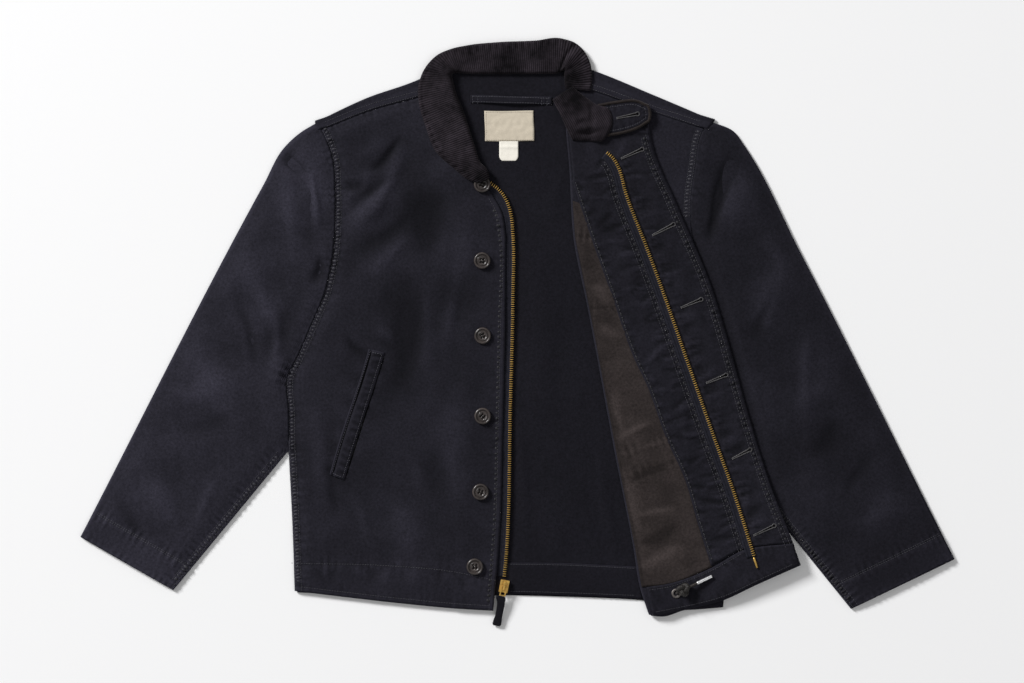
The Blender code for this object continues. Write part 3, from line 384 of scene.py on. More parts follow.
def seam_relief(plan, seams):
    """Grooves and puckers of sewn lines: line, groove depth, pucker height, pucker reach. A pucker is a
    wave along the seam, uneven in pitch and strength, that dies away with the distance from it."""
    height = np.zeros(plan.shape[:-1])
    for number, (line, groove, pucker, reach) in enumerate(seams):
        near, away, along = near_line(plan, line, 3 * reach)
        wave = np.sin(along / 8.6 * 2 * math.pi + 1.9 * np.sin(along / 31.0 + number) + number)
        strength = 0.55 + 0.45 * np.sin(along / 47.0 * 2 * math.pi + 2.1 * number)
        height[near] += pucker * sizes().pucker * strength * wave * bell(away, reach) - groove * bell(away,
                                                                                                      1.9)
    return height


def nearness(plan, lines, reach):
    """From 0 to 1, how near a point is to worn lines, for the cloth's paler edges."""
    value = np.zeros(plan.shape[:-1])
    for line in lines:
        near, away, _ = near_line(plan, line, 2 * reach)
        value[near] = np.maximum(value[near], bell(away, reach))
    return value


# Meshes

MATERIALS = {}
SURFACES = {}
SLEEVE_SEWN = {}


def publish(name, points, faces, material, attributes=(), uv=None, smooth=True):
    """One mesh object from points in millimetres and a list of arrays of equal-sided faces."""
    mesh = bpy.data.meshes.new(name)
    points = np.asarray(points, np.float32) * MM
    faces = faces if isinstance(faces, list) else [faces]
    corners = np.concatenate([np.asarray(part, np.int32).ravel() for part in faces])
    counts = np.concatenate([np.full(len(part), np.shape(part)[1]) for part in faces])
    starts = np.concatenate([[0], np.cumsum(counts)[:-1]]).astype(np.int32)
    mesh.vertices.add(len(points))
    mesh.vertices.foreach_set("co", points.ravel())
    mesh.loops.add(len(corners))
    mesh.loops.foreach_set("vertex_index", corners)
    mesh.polygons.add(len(counts))
    mesh.polygons.foreach_set("loop_start", starts)
    mesh.polygons.foreach_set("use_smooth", np.full(len(counts), smooth))
    mesh.update(calc_edges=True)
    mesh.validate()
    if uv is not None:
        layer = mesh.uv_layers.new(name="grain")
        index = np.empty(len(mesh.loops), np.int32)
        mesh.loops.foreach_get("vertex_index", index)
        layer.data.foreach_set("uv", np.asarray(uv, np.float32)[index].ravel())
    for label, values in attributes:
        layer = mesh.attributes.new(label, "FLOAT", "POINT")
        layer.data.foreach_set("value", np.asarray(values, np.float32).ravel())
    mesh.materials.append(MATERIALS[material])
    obj = bpy.data.objects.new(name, mesh)
    bpy.context.scene.collection.objects.link(obj)
    return obj


def vectors_of(items, key, kind=np.float32):
    """Three values of each of a mesh's items."""
    values = np.empty(len(items) * 3, kind)
    items.foreach_get(key, values)
    return values.reshape(-1, 3)


def turn_out(obj):
    """Turns a closed mesh's faces outwards where its signed volume is negative."""
    mesh = obj.data
    mesh.calc_loop_triangles()
    corners = vectors_of(mesh.loop_triangles, "vertices", np.int32)
    tri = vectors_of(mesh.vertices, "co")[corners].astype(float)
    if np.einsum("ij,ij->i", tri[:, 0], np.cross(tri[:, 1], tri[:, 2])).sum() < 0:
        mesh.flip_normals()
    return obj


def grain_uv(points, angle):
    """Plan position turned so that v runs along the cloth's grain, in metres."""
    c, s = math.cos(angle), math.sin(angle)
    x, y = points[:, 0] * MM, points[:, 1] * MM
    return np.stack([x * c + y * s, -x * s + y * c], axis=1)


def fade_and_shade_of(bend, size=1.7):
    """Share of colour change from crease height, from dark in the troughs to pale on the ridges: partly dye
    fading on the ridges, partly painted shade in the troughs and painted highlight on the ridges; level cloth
    is a half less a bit.
    """
    return np.clip(0.44 + 0.42 * np.tanh(bend / size), 0, 1)


def shell(name, under, over, material, grain=0.0, wear=None, cells=None, fade=None):
    """Closed thin wall between two grids of points; cells says which of the grid's cells are cloth. The
    outermost points are drawn together a little, which rounds the cloth's edge."""
    rows, columns = under.shape[:2]
    cells = np.ones((rows - 1, columns - 1), bool) if cells is None else cells
    index = np.arange(rows * columns).reshape(rows, columns)
    loops = np.stack([index[:-1, :-1], index[1:, :-1], index[1:, 1:], index[:-1, 1:]], axis=-1)[cells]
    edges = np.concatenate([loops[:, [k, (k + 1) % 4]] for k in range(4)])
    _, first, count = np.unique(np.sort(edges, axis=1), axis=0, return_index=True, return_counts=True)
    rim = edges[first[count == 1]]
    top = rows * columns
    rim_points = np.unique(rim)
    flat_under, flat_over = under.reshape(-1, 3).copy(), over.reshape(-1, 3).copy()
    middle = (flat_under[rim_points] + flat_over[rim_points]) / 2
    flat_over[rim_points] = middle + (flat_over[rim_points] - middle) * 0.55
    flat_under[rim_points] = middle + (flat_under[rim_points] - middle) * 0.55
    faces = np.concatenate([
        loops + top, loops[:, ::-1],
        np.stack([rim[:, 0], rim[:, 1], rim[:, 1] + top, rim[:, 0] + top], axis=1),
    ])
    points = np.concatenate([flat_under, flat_over])
    used, faces = np.unique(faces, return_inverse=True)
    faces = faces.reshape(-1, 4)
    wear = np.zeros(rows * columns) if wear is None else wear.ravel()
    # fade holds painted shade in the troughs and painted highlight on the ridges, partly dye fading; 0.44
    # leaves the colour about as it is
    fade = np.full(rows * columns, 0.44) if fade is None else fade.ravel()
    both = np.concatenate([wear, wear])
    faded_and_shaded = np.concatenate([fade, fade])
    obj = publish(name, points[used], faces, material, [("wear", both[used]), ("fade", faded_and_shaded[used])],
                  grain_uv(points[used], grain))
    return turn_out(obj)


def tube_shell(name, outside, inside, material, grain, wear, fade):
    """Closed tube wall, open at both ends: outer rings along it, then inner rings back, joined round."""
    rings = np.concatenate([outside, inside[::-1]])
    faces = ring_faces(*rings.shape[:2], closed=True)
    points = rings.reshape(-1, 3)
    values = np.zeros(len(points))
    values[:wear.size] = wear.ravel()
    # fade holds painted shade and painted highlight from the creases, partly dye fading
    faded_and_shaded = np.full(len(points), 0.44)
    faded_and_shaded[:fade.size] = fade.ravel()
    obj = publish(name, points, faces, material, [("wear", values), ("fade", faded_and_shaded)], grain_uv(points, grain))
    return turn_out(obj)


def ring_faces(count, sides, closed=False):
    """Faces of a tube through equal rings: joined round to its start, or capped at both ends."""
    rows = count if closed else count - 1
    i, j = np.meshgrid(np.arange(rows), np.arange(sides), indexing="ij")
    n, k = (i + 1) % count, (j + 1) % sides
    faces = [np.stack([i * sides + j, n * sides + j, n * sides + k, i * sides + k], axis=-1).reshape(-1, 4)]
    if not closed:
        caps = np.stack([np.arange(sides), (count - 1) * sides + np.arange(sides)[::-1]])
        faces.append(caps)
    return faces


def loft(name, rings, material, closed=False, attributes=(), uv=None):
    """Closed solid through equal rings of points."""
    faces = ring_faces(*rings.shape[:2], closed)
    return turn_out(publish(name, rings.reshape(-1, 3), faces, material, attributes, uv))


def tube_rings(path, radius, sides=10, closed=False):
    """Rings round a path, each square to it; the radius is one number or one for each point."""
    path = np.asarray(path, float)
    if closed:
        run = np.roll(path, -1, axis=0) - np.roll(path, 1, axis=0)
    else:
        run = np.gradient(path, axis=0)
    run = unit(run)
    side = unit(np.cross(run, (0.02, 0.03, 1.0)))
    up = np.cross(side, run)
    angle = circle(sides)
    radius = np.broadcast_to(np.asarray(radius, float), (len(path),))[:, None, None]
    across = side[:, None] * np.cos(angle)[:, None] + up[:, None] * np.sin(angle)[:, None]
    return path[:, None] + radius * across


def copies(name, rings, origins, forwards, sides, ups, material, smooth=True):
    """One joined mesh of many copies of a small closed solid. The solid's rings are given in its own frame
    of forward, side and up, and each copy has its own place and axes, whose lengths stretch it."""
    solid = rings.reshape(-1, 3)
    points = origins[:, None]
    for column, axes in enumerate((forwards, sides, ups)):
        points = points + axes[:, None] * solid[None, :, column:column + 1]
    shift = (np.arange(len(origins)) * len(solid))[:, None, None]
    faces = [(part[None] + shift).reshape(-1, part.shape[1]) for part in ring_faces(*rings.shape[:2])]
    return publish(name, points.reshape(-1, 3), faces, material, smooth=smooth)


def capsule_rings(sides=5):
    """A stitch of unit length along forward: thin at both ends and arched in the middle."""
    angle = circle(sides)
    rings = [np.stack([np.full(sides, t), 0.5 * r * np.cos(angle), h + 0.5 * r * np.sin(angle)], axis=1)
             for t, r, h in ((-0.5, 0.4, -0.45), (-0.3, 1.0, 0.15), (0.3, 1.0, 0.15), (0.5, 0.4, -0.45))]
    return np.array(rings)


def keep_surface(key, obj):
    """Remembers a piece's surface, so that stitches can be laid on it."""
    bpy.context.view_layer.update()
    SURFACES[key] = BVHTree.FromObject(obj, bpy.context.evaluated_depsgraph_get())
    return obj


def level_at(key, x, y):
    """Height of a piece's top at one place."""
    return float(drop(key, np.array([[x, y]]))[0, 2])


def drop(key, plan):
    """Points of a plan line on the top of a piece; a point beside the piece keeps its neighbour's height."""
    tree = SURFACES[key]
    above = 0.06
    heights = np.full(len(plan), np.nan)
    for number, (x, y) in enumerate(np.asarray(plan) * MM):
        spot = tree.ray_cast((x, y, above), (0, 0, -1))[0]
        if spot is not None:
            heights[number] = spot.z / MM
    known = np.flatnonzero(~np.isnan(heights))
    heights = np.interp(np.arange(len(plan)), known, heights[known])
    return raised(np.asarray(plan, float), heights)


def sew(name, lines, material, length=None, width=None, slot_name="navy_cloth"):
    """Rows of single stitches joined as one mesh; each line is a piece's name and a plan line on it."""
    length = sizes().stitch / MM if length is None else length
    width = sizes().thread / MM if width is None else width
    starts, ends = [], []
    for key, line in lines:
        total = line_length(line)
        count = max(2, round(total / length))
        spots = drop(key, resampled(line, even(2 * count)))
        starts.append(spots[0::2])
        ends.append(spots[1::2])
    start, end = np.concatenate(starts), np.concatenate(ends)
    forward = end - start
    ahead = unit(forward)
    side = np.cross((0, 0, 1.0), ahead)
    up = np.cross(ahead, side) * width
    obj = copies(name, capsule_rings(), (start + end) / 2 + up * 0.12, forward * 1.45, side * width, up,
                 material)
    return settle(obj, slot_name)


def ribs(name, rows, material):
    """Cross ridges of double-stitched seams: each row is a piece's name, a plan line on it, the pitch of
    the ridges and their length across the seam."""
    spots, forwards, sides_v = [], [], []
    for key, line, pitch, reach in rows:
        count = max(3, round(line_length(line) / pitch))
        middle = resampled(line, even(count))
        ahead = unit(np.gradient(middle, axis=0))
        number = np.arange(count)[:, None]
        across = np.stack([ahead[:, 1], -ahead[:, 0]], axis=1) + ahead * 0.22 * np.sin(number * 1.7)
        spots.append(drop(key, middle))
        forwards.append(across * reach * (0.85 + 0.15 * np.sin(number * 2.4)))
        sides_v.append(ahead * pitch * (0.5 + 0.1 * np.sin(number * 3.1)))
    spots = np.concatenate(spots)
    obj = copies(name, capsule_rings(6), spots, raised(np.concatenate(forwards), 0.0),
                 raised(np.concatenate(sides_v), 0.0), np.tile([0, 0, 0.8], (len(spots), 1)), material)
    return settle(obj, "navy_cloth")


def settle(obj, slot_name, *nodes, body=BODY):
    """Rides a finished piece on its body and hides the nodes that it stands for."""
    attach(obj, body)
    if nodes:
        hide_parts(*nodes)
    return obj


def lay_sheet(obj, key, slot_name, node):
    """Finishes a cut of cloth: keeps its surface and settles it."""
    keep_surface(key, obj)
    settle(obj, slot_name, node)


def layer(name, plan, low, high, material, **more):
    """Closed wall over a plan grid, from its lower heights to its upper ones."""
    return shell(name, raised(plan, low), raised(plan, high), material, **more)


# Finishes

def nodes_of(name):
    """A new material, its node tree, its shader and the object's own coordinates."""
    material = bpy.data.materials.new(name)
    material.use_nodes = True
    tree = material.node_tree
    place = tree.nodes.new("ShaderNodeTexCoord").outputs["Object"]
    return material, tree, tree.nodes["Principled BSDF"], place


def dial(node, **inputs):
    """Sets a node's inputs by name; an underscore stands for a space."""
    for key, value in inputs.items():
        node.inputs[key.replace("_", " ")].default_value = value
    return node


def add(tree, kind, **inputs):
    return dial(tree.nodes.new(kind), **inputs)


def attribute(tree, name):
    node = tree.nodes.new("ShaderNodeAttribute")
    node.attribute_name = name
    return node.outputs["Fac"]


def noise(tree, vector, scale, detail=3.0, roughness=0.55):
    node = add(tree, "ShaderNodeTexNoise", Scale=scale, Detail=detail, Roughness=roughness)
    tree.links.new(vector, node.inputs["Vector"])
    return node.outputs["Fac"]


def ramp(tree, value, low, high, dark, light):
    """Colour from dark to light as value goes from low to high."""
    node = tree.nodes.new("ShaderNodeValToRGB")
    node.color_ramp.elements[0].position = low
    node.color_ramp.elements[1].position = high
    node.color_ramp.elements[0].color = (*dark, 1)
    node.color_ramp.elements[1].color = (*light, 1)
    tree.links.new(value, node.inputs["Fac"])
    return node.outputs["Color"]


def scaled(colour, factor):
    return tuple(min(c * factor, 1.0) for c in colour)


def mix(tree, factor, first, second, blend="MIX"):
    node = tree.nodes.new("ShaderNodeMix")
    node.data_type = "RGBA"
    node.blend_type = blend
    for socket, value in (("Factor", factor), ("A", first), ("B", second)):
        target = next(s for s in node.inputs if s.name == socket and (s.type == "RGBA" or socket == "Factor"))
        if isinstance(value, (int, float)):
            target.default_value = value
        elif isinstance(value, tuple):
            target.default_value = (*value, 1)
        else:
            tree.links.new(value, target)
    return next(s for s in node.outputs if s.type == "RGBA")


def math_node(tree, operation, first, second):
    node = tree.nodes.new("ShaderNodeMath")
    node.operation = operation
    for k, value in enumerate((first, second)):
        if isinstance(value, (int, float)):
            node.inputs[k].default_value = value
        else:
            tree.links.new(value, node.inputs[k])
    return node.outputs[0]


def waves(tree, vector, scale, direction, distortion=0.6):
    node = add(tree, "ShaderNodeTexWave", Scale=scale, Distortion=distortion)
    node.bands_direction = direction
    tree.links.new(vector, node.inputs["Vector"])
    return node.outputs["Fac"]


def bump(tree, shader, height, strength, distance, under=None):
    node = add(tree, "ShaderNodeBump", Strength=strength, Distance=distance)
    tree.links.new(height, node.inputs["Height"])
    if under is not None:
        tree.links.new(under, node.inputs["Normal"])
    if shader is not None:
        tree.links.new(node.outputs["Normal"], shader.inputs["Normal"])
    return node.outputs["Normal"]


def cloth_material(name, colour, roughness=0.86, sheen=0.1, twill=0.35, mottled=0.22, worn=1.9,
                   speck=0.5, sheen_tint=(0.55, 0.6, 0.8)):
    """Woven cloth: twill threads on the grain map, slubs, mottled dye, paler wear where the wear attribute is
    high, and, from the fade attribute, darker troughs and paler ridges of the creases, partly dye fading and
    partly painted shade and painted highlight."""
    material, tree, shader, place = nodes_of(name)
    grain = tree.nodes.new("ShaderNodeUVMap")
    grain.uv_map = "grain"
    grain = grain.outputs["UV"]
    blotch = noise(tree, place, 9.0, 4.0)
    fine = noise(tree, place, 330.0, 3.0, 0.8)
    base = ramp(tree, blotch, 0.3, 0.72, scaled(colour, 1 - mottled), scaled(colour, 1 + mottled))
    grains = ramp(tree, fine, 0.25, 0.8, (1 - speck,) * 3, (1 + speck,) * 3)
    base = mix(tree, 1.0, base, grains, "MULTIPLY")
    # Painted shade and painted highlight: the fade attribute darkens the creases' troughs and lightens their
    # ridges, partly as dye fading
    faded_and_shaded = ramp(tree, attribute(tree, "fade"), 0.0, 1.0, (0.42,) * 3, (1.74,) * 3)
    base = mix(tree, 1.0, base, faded_and_shaded, "MULTIPLY")
    rub = math_node(tree, "MULTIPLY", attribute(tree, "wear"), noise(tree, place, 160.0, 3.0, 0.7))
    base = mix(tree, rub, base, scaled(colour, worn))
    tree.links.new(base, shader.inputs["Base Color"])
    dial(shader, Roughness=roughness, Specular_IOR_Level=0.09, Sheen_Weight=sheen, Sheen_Roughness=0.45,
         Sheen_Tint=(*sheen_tint, 1))
    threads = waves(tree, grain, 260.0, "DIAGONAL", 1.2)
    weft = waves(tree, grain, 330.0, "X", 1.0)
    weave = math_node(tree, "ADD", math_node(tree, "MULTIPLY", threads, 0.6),
                      math_node(tree, "MULTIPLY", weft, 0.4))
    rough = bump(tree, None, noise(tree, place, 130.0, 4.0, 0.6), 0.35, 0.0006)
    bump(tree, shader, weave, twill, 0.0002, rough)
    return material


def corduroy_material(name, colour):
    """Pile ridges from the wale attribute: pale tops, partly wear and partly painted highlight, and dark
    furrows that are painted shade, with a napped bump.
    """
    material, tree, shader, place = nodes_of(name)
    patchy = noise(tree, place, 26.0, 4.0, 0.7)
    nap = noise(tree, place, 600.0, 2.0, 0.7)
    # Painted shade: the wale attribute darkens the furrows between the ridges; the pale tops are partly wear
    # and partly painted highlight
    ridge = ramp(tree, attribute(tree, "wale"), 0.1, 0.95, scaled(colour, 0.14), scaled(colour, 2.2))
    base = mix(tree, 1.0, ridge, ramp(tree, patchy, 0.34, 0.66, (0.3, 0.3, 0.3), (2.0, 1.9, 1.9)), "MULTIPLY")
    base = mix(tree, 1.0, base, ramp(tree, nap, 0.25, 0.8, (0.7, 0.7, 0.7), (1.3, 1.3, 1.3)), "MULTIPLY")
    tree.links.new(base, shader.inputs["Base Color"])
    dial(shader, Roughness=0.92, Specular_IOR_Level=0.06, Sheen_Weight=0.12, Sheen_Roughness=0.4,
         Sheen_Tint=(0.6, 0.56, 0.6, 1))
    bump(tree, shader, nap, 0.5, 0.0005)
    return material


def thread_material(name, colour, sheen=0.3):
    """Twisted thread: a fine slanted ply along each stitch and small changes of shade."""
    material, tree, shader, place = nodes_of(name)
    shade = ramp(tree, noise(tree, place, 300.0, 2.0), 0.3, 0.7, scaled(colour, 0.7), scaled(colour, 1.35))
    tree.links.new(shade, shader.inputs["Base Color"])
    dial(shader, Roughness=0.6, Sheen_Weight=sheen)
    bump(tree, shader, waves(tree, place, 900.0, "DIAGONAL"), 0.5, 0.0002)
    return material


def metal_material(name, colour, roughness, dark=0.35):
    """Metal with patches of tarnish and a brushed, lightly scratched surface."""
    material, tree, shader, place = nodes_of(name)
    tarnish = noise(tree, place, 240.0, 4.0, 0.65)
    base = ramp(tree, tarnish, 0.3, 0.62, scaled(colour, dark), colour)
    tree.links.new(base, shader.inputs["Base Color"])
    dial(shader, Metallic=1.0)
    spread = add(tree, "ShaderNodeMapRange", To_Min=roughness, To_Max=min(1.0, roughness + 0.3))
    tree.links.new(noise(tree, place, 500.0, 3.0), spread.inputs["Value"])
    tree.links.new(spread.outputs["Result"], shader.inputs["Roughness"])
    bump(tree, shader, noise(tree, place, 900.0, 3.0), 0.25, 0.0001)
    return material


def horn_material(name, colour):
    """Dark horn: smoky streaks, a soft polish and fine scratches."""
    material, tree, shader, place = nodes_of(name)
    streak = noise(tree, place, 90.0, 6.0, 0.7)
    base = ramp(tree, streak, 0.35, 0.7, scaled(colour, 0.6), scaled(colour, 1.9))
    tree.links.new(base, shader.inputs["Base Color"])
    dial(shader, Roughness=0.3, Specular_IOR_Level=0.6)
    bump(tree, shader, noise(tree, place, 700.0, 3.0), 0.15, 0.0001)
    return material


def shade(key, factor=1.0):
    """One of the panel's colours, made paler or darker."""
    return scaled(getattr(colours(), key), factor)


def make_materials():
    MATERIALS.update(
        navy=cloth_material("navy_cloth", shade("navy")),
        inside=cloth_material("navy_inside", shade("navy_inside"), sheen=0.04, mottled=0.12, worn=2.2),
        lining=cloth_material("brown_lining", shade("lining"), sheen=0.06, mottled=0.15, twill=0.25,
                              sheen_tint=(0.8, 0.7, 0.65)),
        tape=cloth_material("zip_tape", shade("tape"), sheen=0.05, twill=0.8, mottled=0.1, worn=3.0),
        corduroy=corduroy_material("corduroy", shade("corduroy")),
        # Painted shade: the collar's end is the same corduroy drawn in a darker copy
        corduroy_end=corduroy_material("corduroy_end", shade("corduroy", 0.84)),
        label=cloth_material("label_cloth", shade("label"), sheen=0.05, mottled=0.06, worn=0.72, speck=0.07,
                             sheen_tint=(1, 1, 1)),
        size_tab=cloth_material("tab_cloth", shade("size_tab"), sheen=0.05, mottled=0.03, worn=0.85,
                                speck=0.04,
                                sheen_tint=(1, 1, 1)),
        # Painted light: one navy cloth, drawn paler for the right sleeve and darker for the left sleeve and
        # for the facing, throat tab and hang loop, as lit and shaded copies
        sleeve_right=cloth_material("navy_cloth_sleeve_right", shade("navy", 1.38)),
        sleeve_left=cloth_material("navy_cloth_sleeve_left", shade("navy", 0.82), sheen=0.05),
        facing=cloth_material("navy_cloth_facing", shade("navy", 0.78), sheen=0.08),
        slit=cloth_material("slit_shadow", (0.002, 0.002, 0.002), sheen=0.0, mottled=0.05, worn=1.0),
        thread=thread_material("navy_thread", shade("thread")),
        # Painted light: the seam ribs are the navy cloth drawn paler as a painted highlight on the ridges,
        # and a darker copy as painted shade for the facing, placket and left sleeve
        rib=thread_material("seam_cloth", shade("navy", 1.5), 0.08),
        rib_dark=thread_material("seam_cloth_dark", shade("navy", 0.62), 0.02),
        thread_pale=thread_material("small_thread", shade("thread", 1.7)),
        label_thread=thread_material("label_thread", shade("label", 0.6)),
        buttonhole=thread_material("buttonhole_thread", shade("buttonhole")),
        rim=cloth_material("tab_rim", shade("lining", 1.5), sheen=0.12, mottled=0.3,
                           sheen_tint=(0.8, 0.75, 0.72)),
        cord=thread_material("drawcord_braid", shade("cord", 0.7), 0.04),
        # Painted shade: the knot is the same cord drawn in a darker copy
        knot=thread_material("drawcord_knot_braid", shade("cord", 0.4), 0.03),
        leather=cloth_material("pull_leather", shade("navy", 0.5), roughness=0.7, sheen=0.05, twill=0.3,
                               mottled=0.2, worn=2.4),
        brass=metal_material("zip_brass", shade("brass"), 0.34, 0.55),
        dark_metal=metal_material("eyelet_metal", (0.22, 0.2, 0.19), 0.35),
        steel=metal_material("tip_metal", (0.86, 0.86, 0.87), 0.22, 0.8),
        horn=horn_material("button_horn", shade("horn")),
    )


# Heights of the layers, the same as in the solids

def across_at(table, y):
    """The x of a plan table that runs down the picture, at each y."""
    return np.interp(y, [p[1] for p in table[::-1]], [p[0] for p in table[::-1]])


def fold_x(y):
    return across_at(FOLD_LEFT, y)


def front_edge_x(y):
    return across_at(EDGE_RIGHT, y) - np.where(y > EDGE_RIGHT[0][1], (y - EDGE_RIGHT[0][1]) * 0.42, 0.0)


def front_right_low(plan):
    """Underside of the right front: lifted over the zip's tape and the hem facing, and by its creases."""
    lift = EDGE_LIFT * smoothstep((66 - (front_edge_x(plan[..., 1]) - plan[..., 0])) / 26)
    lift = lift * smoothstep((215 - plan[..., 1]) / 25)
    hem = HEM_LIFT * smoothstep((-215 - plan[..., 1]) / 40)
    return FRONT_LOW + np.maximum(lift, hem)


def flap_low(plan):
    """Underside of the folded front: highest beside the fold, then flat."""
    x, y = plan[..., 0], plan[..., 1]
    away = np.maximum(x - fold_x(y), 0)
    swell = FOLD_SWELL * smoothstep((215 - y) / 50) * bell(away, 20)
    corner = CORNER_LIFT * smoothstep((x - 190) / 130) * smoothstep((-150 - y) / 130)
    return FLAP_LOW + swell + corner


def flap_top(plan):
    return flap_low(plan) + CLOTH + creases(plan, CREASES_FLAP)


# Seam lines of each piece, worked out once

def front_seams():
    """Sewn lines of the right front: forward seam, armhole, side, front edge, neck and hem."""
    forward = by_pitch(FORWARD_RIGHT, 2)
    arm = by_pitch(ARMHOLE_RIGHT, 2)
    side = by_pitch(SIDE_RIGHT, 2)
    edge = by_pitch(NECK_RIGHT[6:] + EDGE_RIGHT[1:], 2)
    hem = by_pitch(HEM_RIGHT, 2)
    band = by_pitch(((-276, -282), (-157, -285), (-80, -292), (-27, -303)), 2)
    return dict(forward=forward, arm=arm, side=side, edge=edge, hem=hem, band=band)


def make_front_right():
    """The closed right front, with its seams' grooves and puckers."""
    step = sizes().cell / MM
    seam = front_seams()
    rows = round(510 / step)
    left = body_side(ARMHOLE_RIGHT, SIDE_RIGHT)
    left = left[left[:, 1] <= FORWARD_RIGHT[0][1]]
    left = resampled(left, even(rows))
    right = np.concatenate([smooth_line(NECK_RIGHT, even(200)), smooth_line(EDGE_RIGHT, even(500))[1:]])
    share = (left[:, 1] - left[0, 1]) / (left[-1, 1] - left[0, 1])
    down = 0.5 * share + 0.5 * even(rows)
    neck_share = line_length(smooth_line(NECK_RIGHT, even(100))) / line_length(right)
    right = resampled(right, np.interp(down, [0, 0.34, 1], [0, neck_share, 1]))
    columns = even(round(262 / step))
    plan = patch(left, right, smooth_line(FORWARD_RIGHT, columns), smooth_line(HEM_RIGHT, columns), down,
                 columns)
    sewn = [
        (seam["forward"], 0.0, 0.25, 9), (seam["arm"], 0.0, 0.25, 9), (seam["side"], 0.0, 0.45, 9),
        (shifted(seam["arm"], -1.6), 0.35, 0, 4), (shifted(seam["arm"], -8.0), 0.4, 0.2, 8),
        (shifted(seam["side"], -2.0), 0.35, 0, 4), (shifted(seam["side"], -8.5), 0.45, 0.4, 10),
        (shifted(seam["forward"], 2.0), 0.3, 0, 4),
        (shifted(seam["edge"], 5.6), 0.45, 0.35, 8), (shifted(seam["hem"], -6.0), 0.4, 0.3, 7),
        (seam["band"], 0.5, 0.35, 9),
    ]
    low = front_right_low(plan)
    bunched = (gathers(shifted(seam["edge"], 6.0), 8, 15, 0.3, 11)
               + gathers(shifted(seam["arm"], -8.5), 9, 18, 0.35, 12, -1.0)
               + gathers(shifted(seam["side"], -9.0), 8, 18, 0.42, 13, -1.0)
               + gathers(seam["band"], 9, 12, 0.3, 14) + gathers(seam["band"], 17, 34, 0.9, 15))
    bend = (creases(plan, CREASES_FRONT) + creases(plan, bunched) + 0.9 * slack(plan, 90, 3)
            + 0.35 * slack(plan, 26, 5))
    welt = bell(nearest(plan, welt_loop(4.0))[0], 9) * 0.25 * np.sin(plan[..., 1] / 5.2 + plan[..., 0] / 9)
    relief = seam_relief(plan, sewn) + welt
    relief += felled(plan, shifted(seam["arm"], -4.9), 0.75, 4.8)
    relief += felled(plan, shifted(seam["side"], -5.4), 0.8, 5.4)
    relief += felled(plan, shifted(seam["edge"], 7.0), 0.35, 5.0, 5.6)
    side_roll = smoothstep(1 - nearest(plan, seam["side"])[0] / 4.0)
    arm_lap = 1.1 * bell(nearest(plan, seam["arm"])[0], 4.0)
    inside = clear_of(plan, seam["arm"], 22) * clear_of(plan, seam["side"], 22)
    inside *= clear_of(plan, seam["hem"], 30) * clear_of(plan, seam["forward"], 14)
    bend = bend * (0.25 + 0.75 * inside)
    loft_up = LOFT * inside * clear_of(plan, seam["edge"], 70)
    low = np.maximum(low + loft_up + bend, 1.6) - side_roll * 1.2 + arm_lap
    thick = CLOTH + 0.5 * smoothstep((-282 - plan[..., 1]) / 4)
    wear = nearness(plan, [seam["edge"], seam["hem"], seam["side"], seam["arm"],
                           shifted(seam["edge"], 5.6)], 3.2)
    # Painted shade in the troughs and painted highlight on the ridges of the creases and seams, partly dye
    # fading; paler towards the hem
    fade = np.clip(fade_and_shade_of(bend + 2.0 * relief) + 0.16 * smoothstep((-270 - plan[..., 1]) / 14), 0, 1)
    obj = layer("front_right_cloth", plan, low + relief * 0.4, low + thick + relief, "navy", wear=wear,
                fade=fade)
    lay_sheet(obj, "front_right", "navy_cloth", "front_right")


def body_side(armhole, side):
    """A panel's outer edge: down the armhole, then down the side."""
    return np.concatenate([smooth_line(armhole, even(400)), smooth_line(side, even(200))[1:]])


def welt_loop(inset=0.0):
    """Closed line round the pocket's welt, moved outwards by inset."""
    corners = np.array(WELT_CORNERS, float)
    middle = corners.mean(0)
    corners = middle + (corners - middle) * (1 + inset / np.array([40.0, 90.0]))
    loop = np.concatenate([corners, corners[:1]])
    return resampled(loop, even(160))


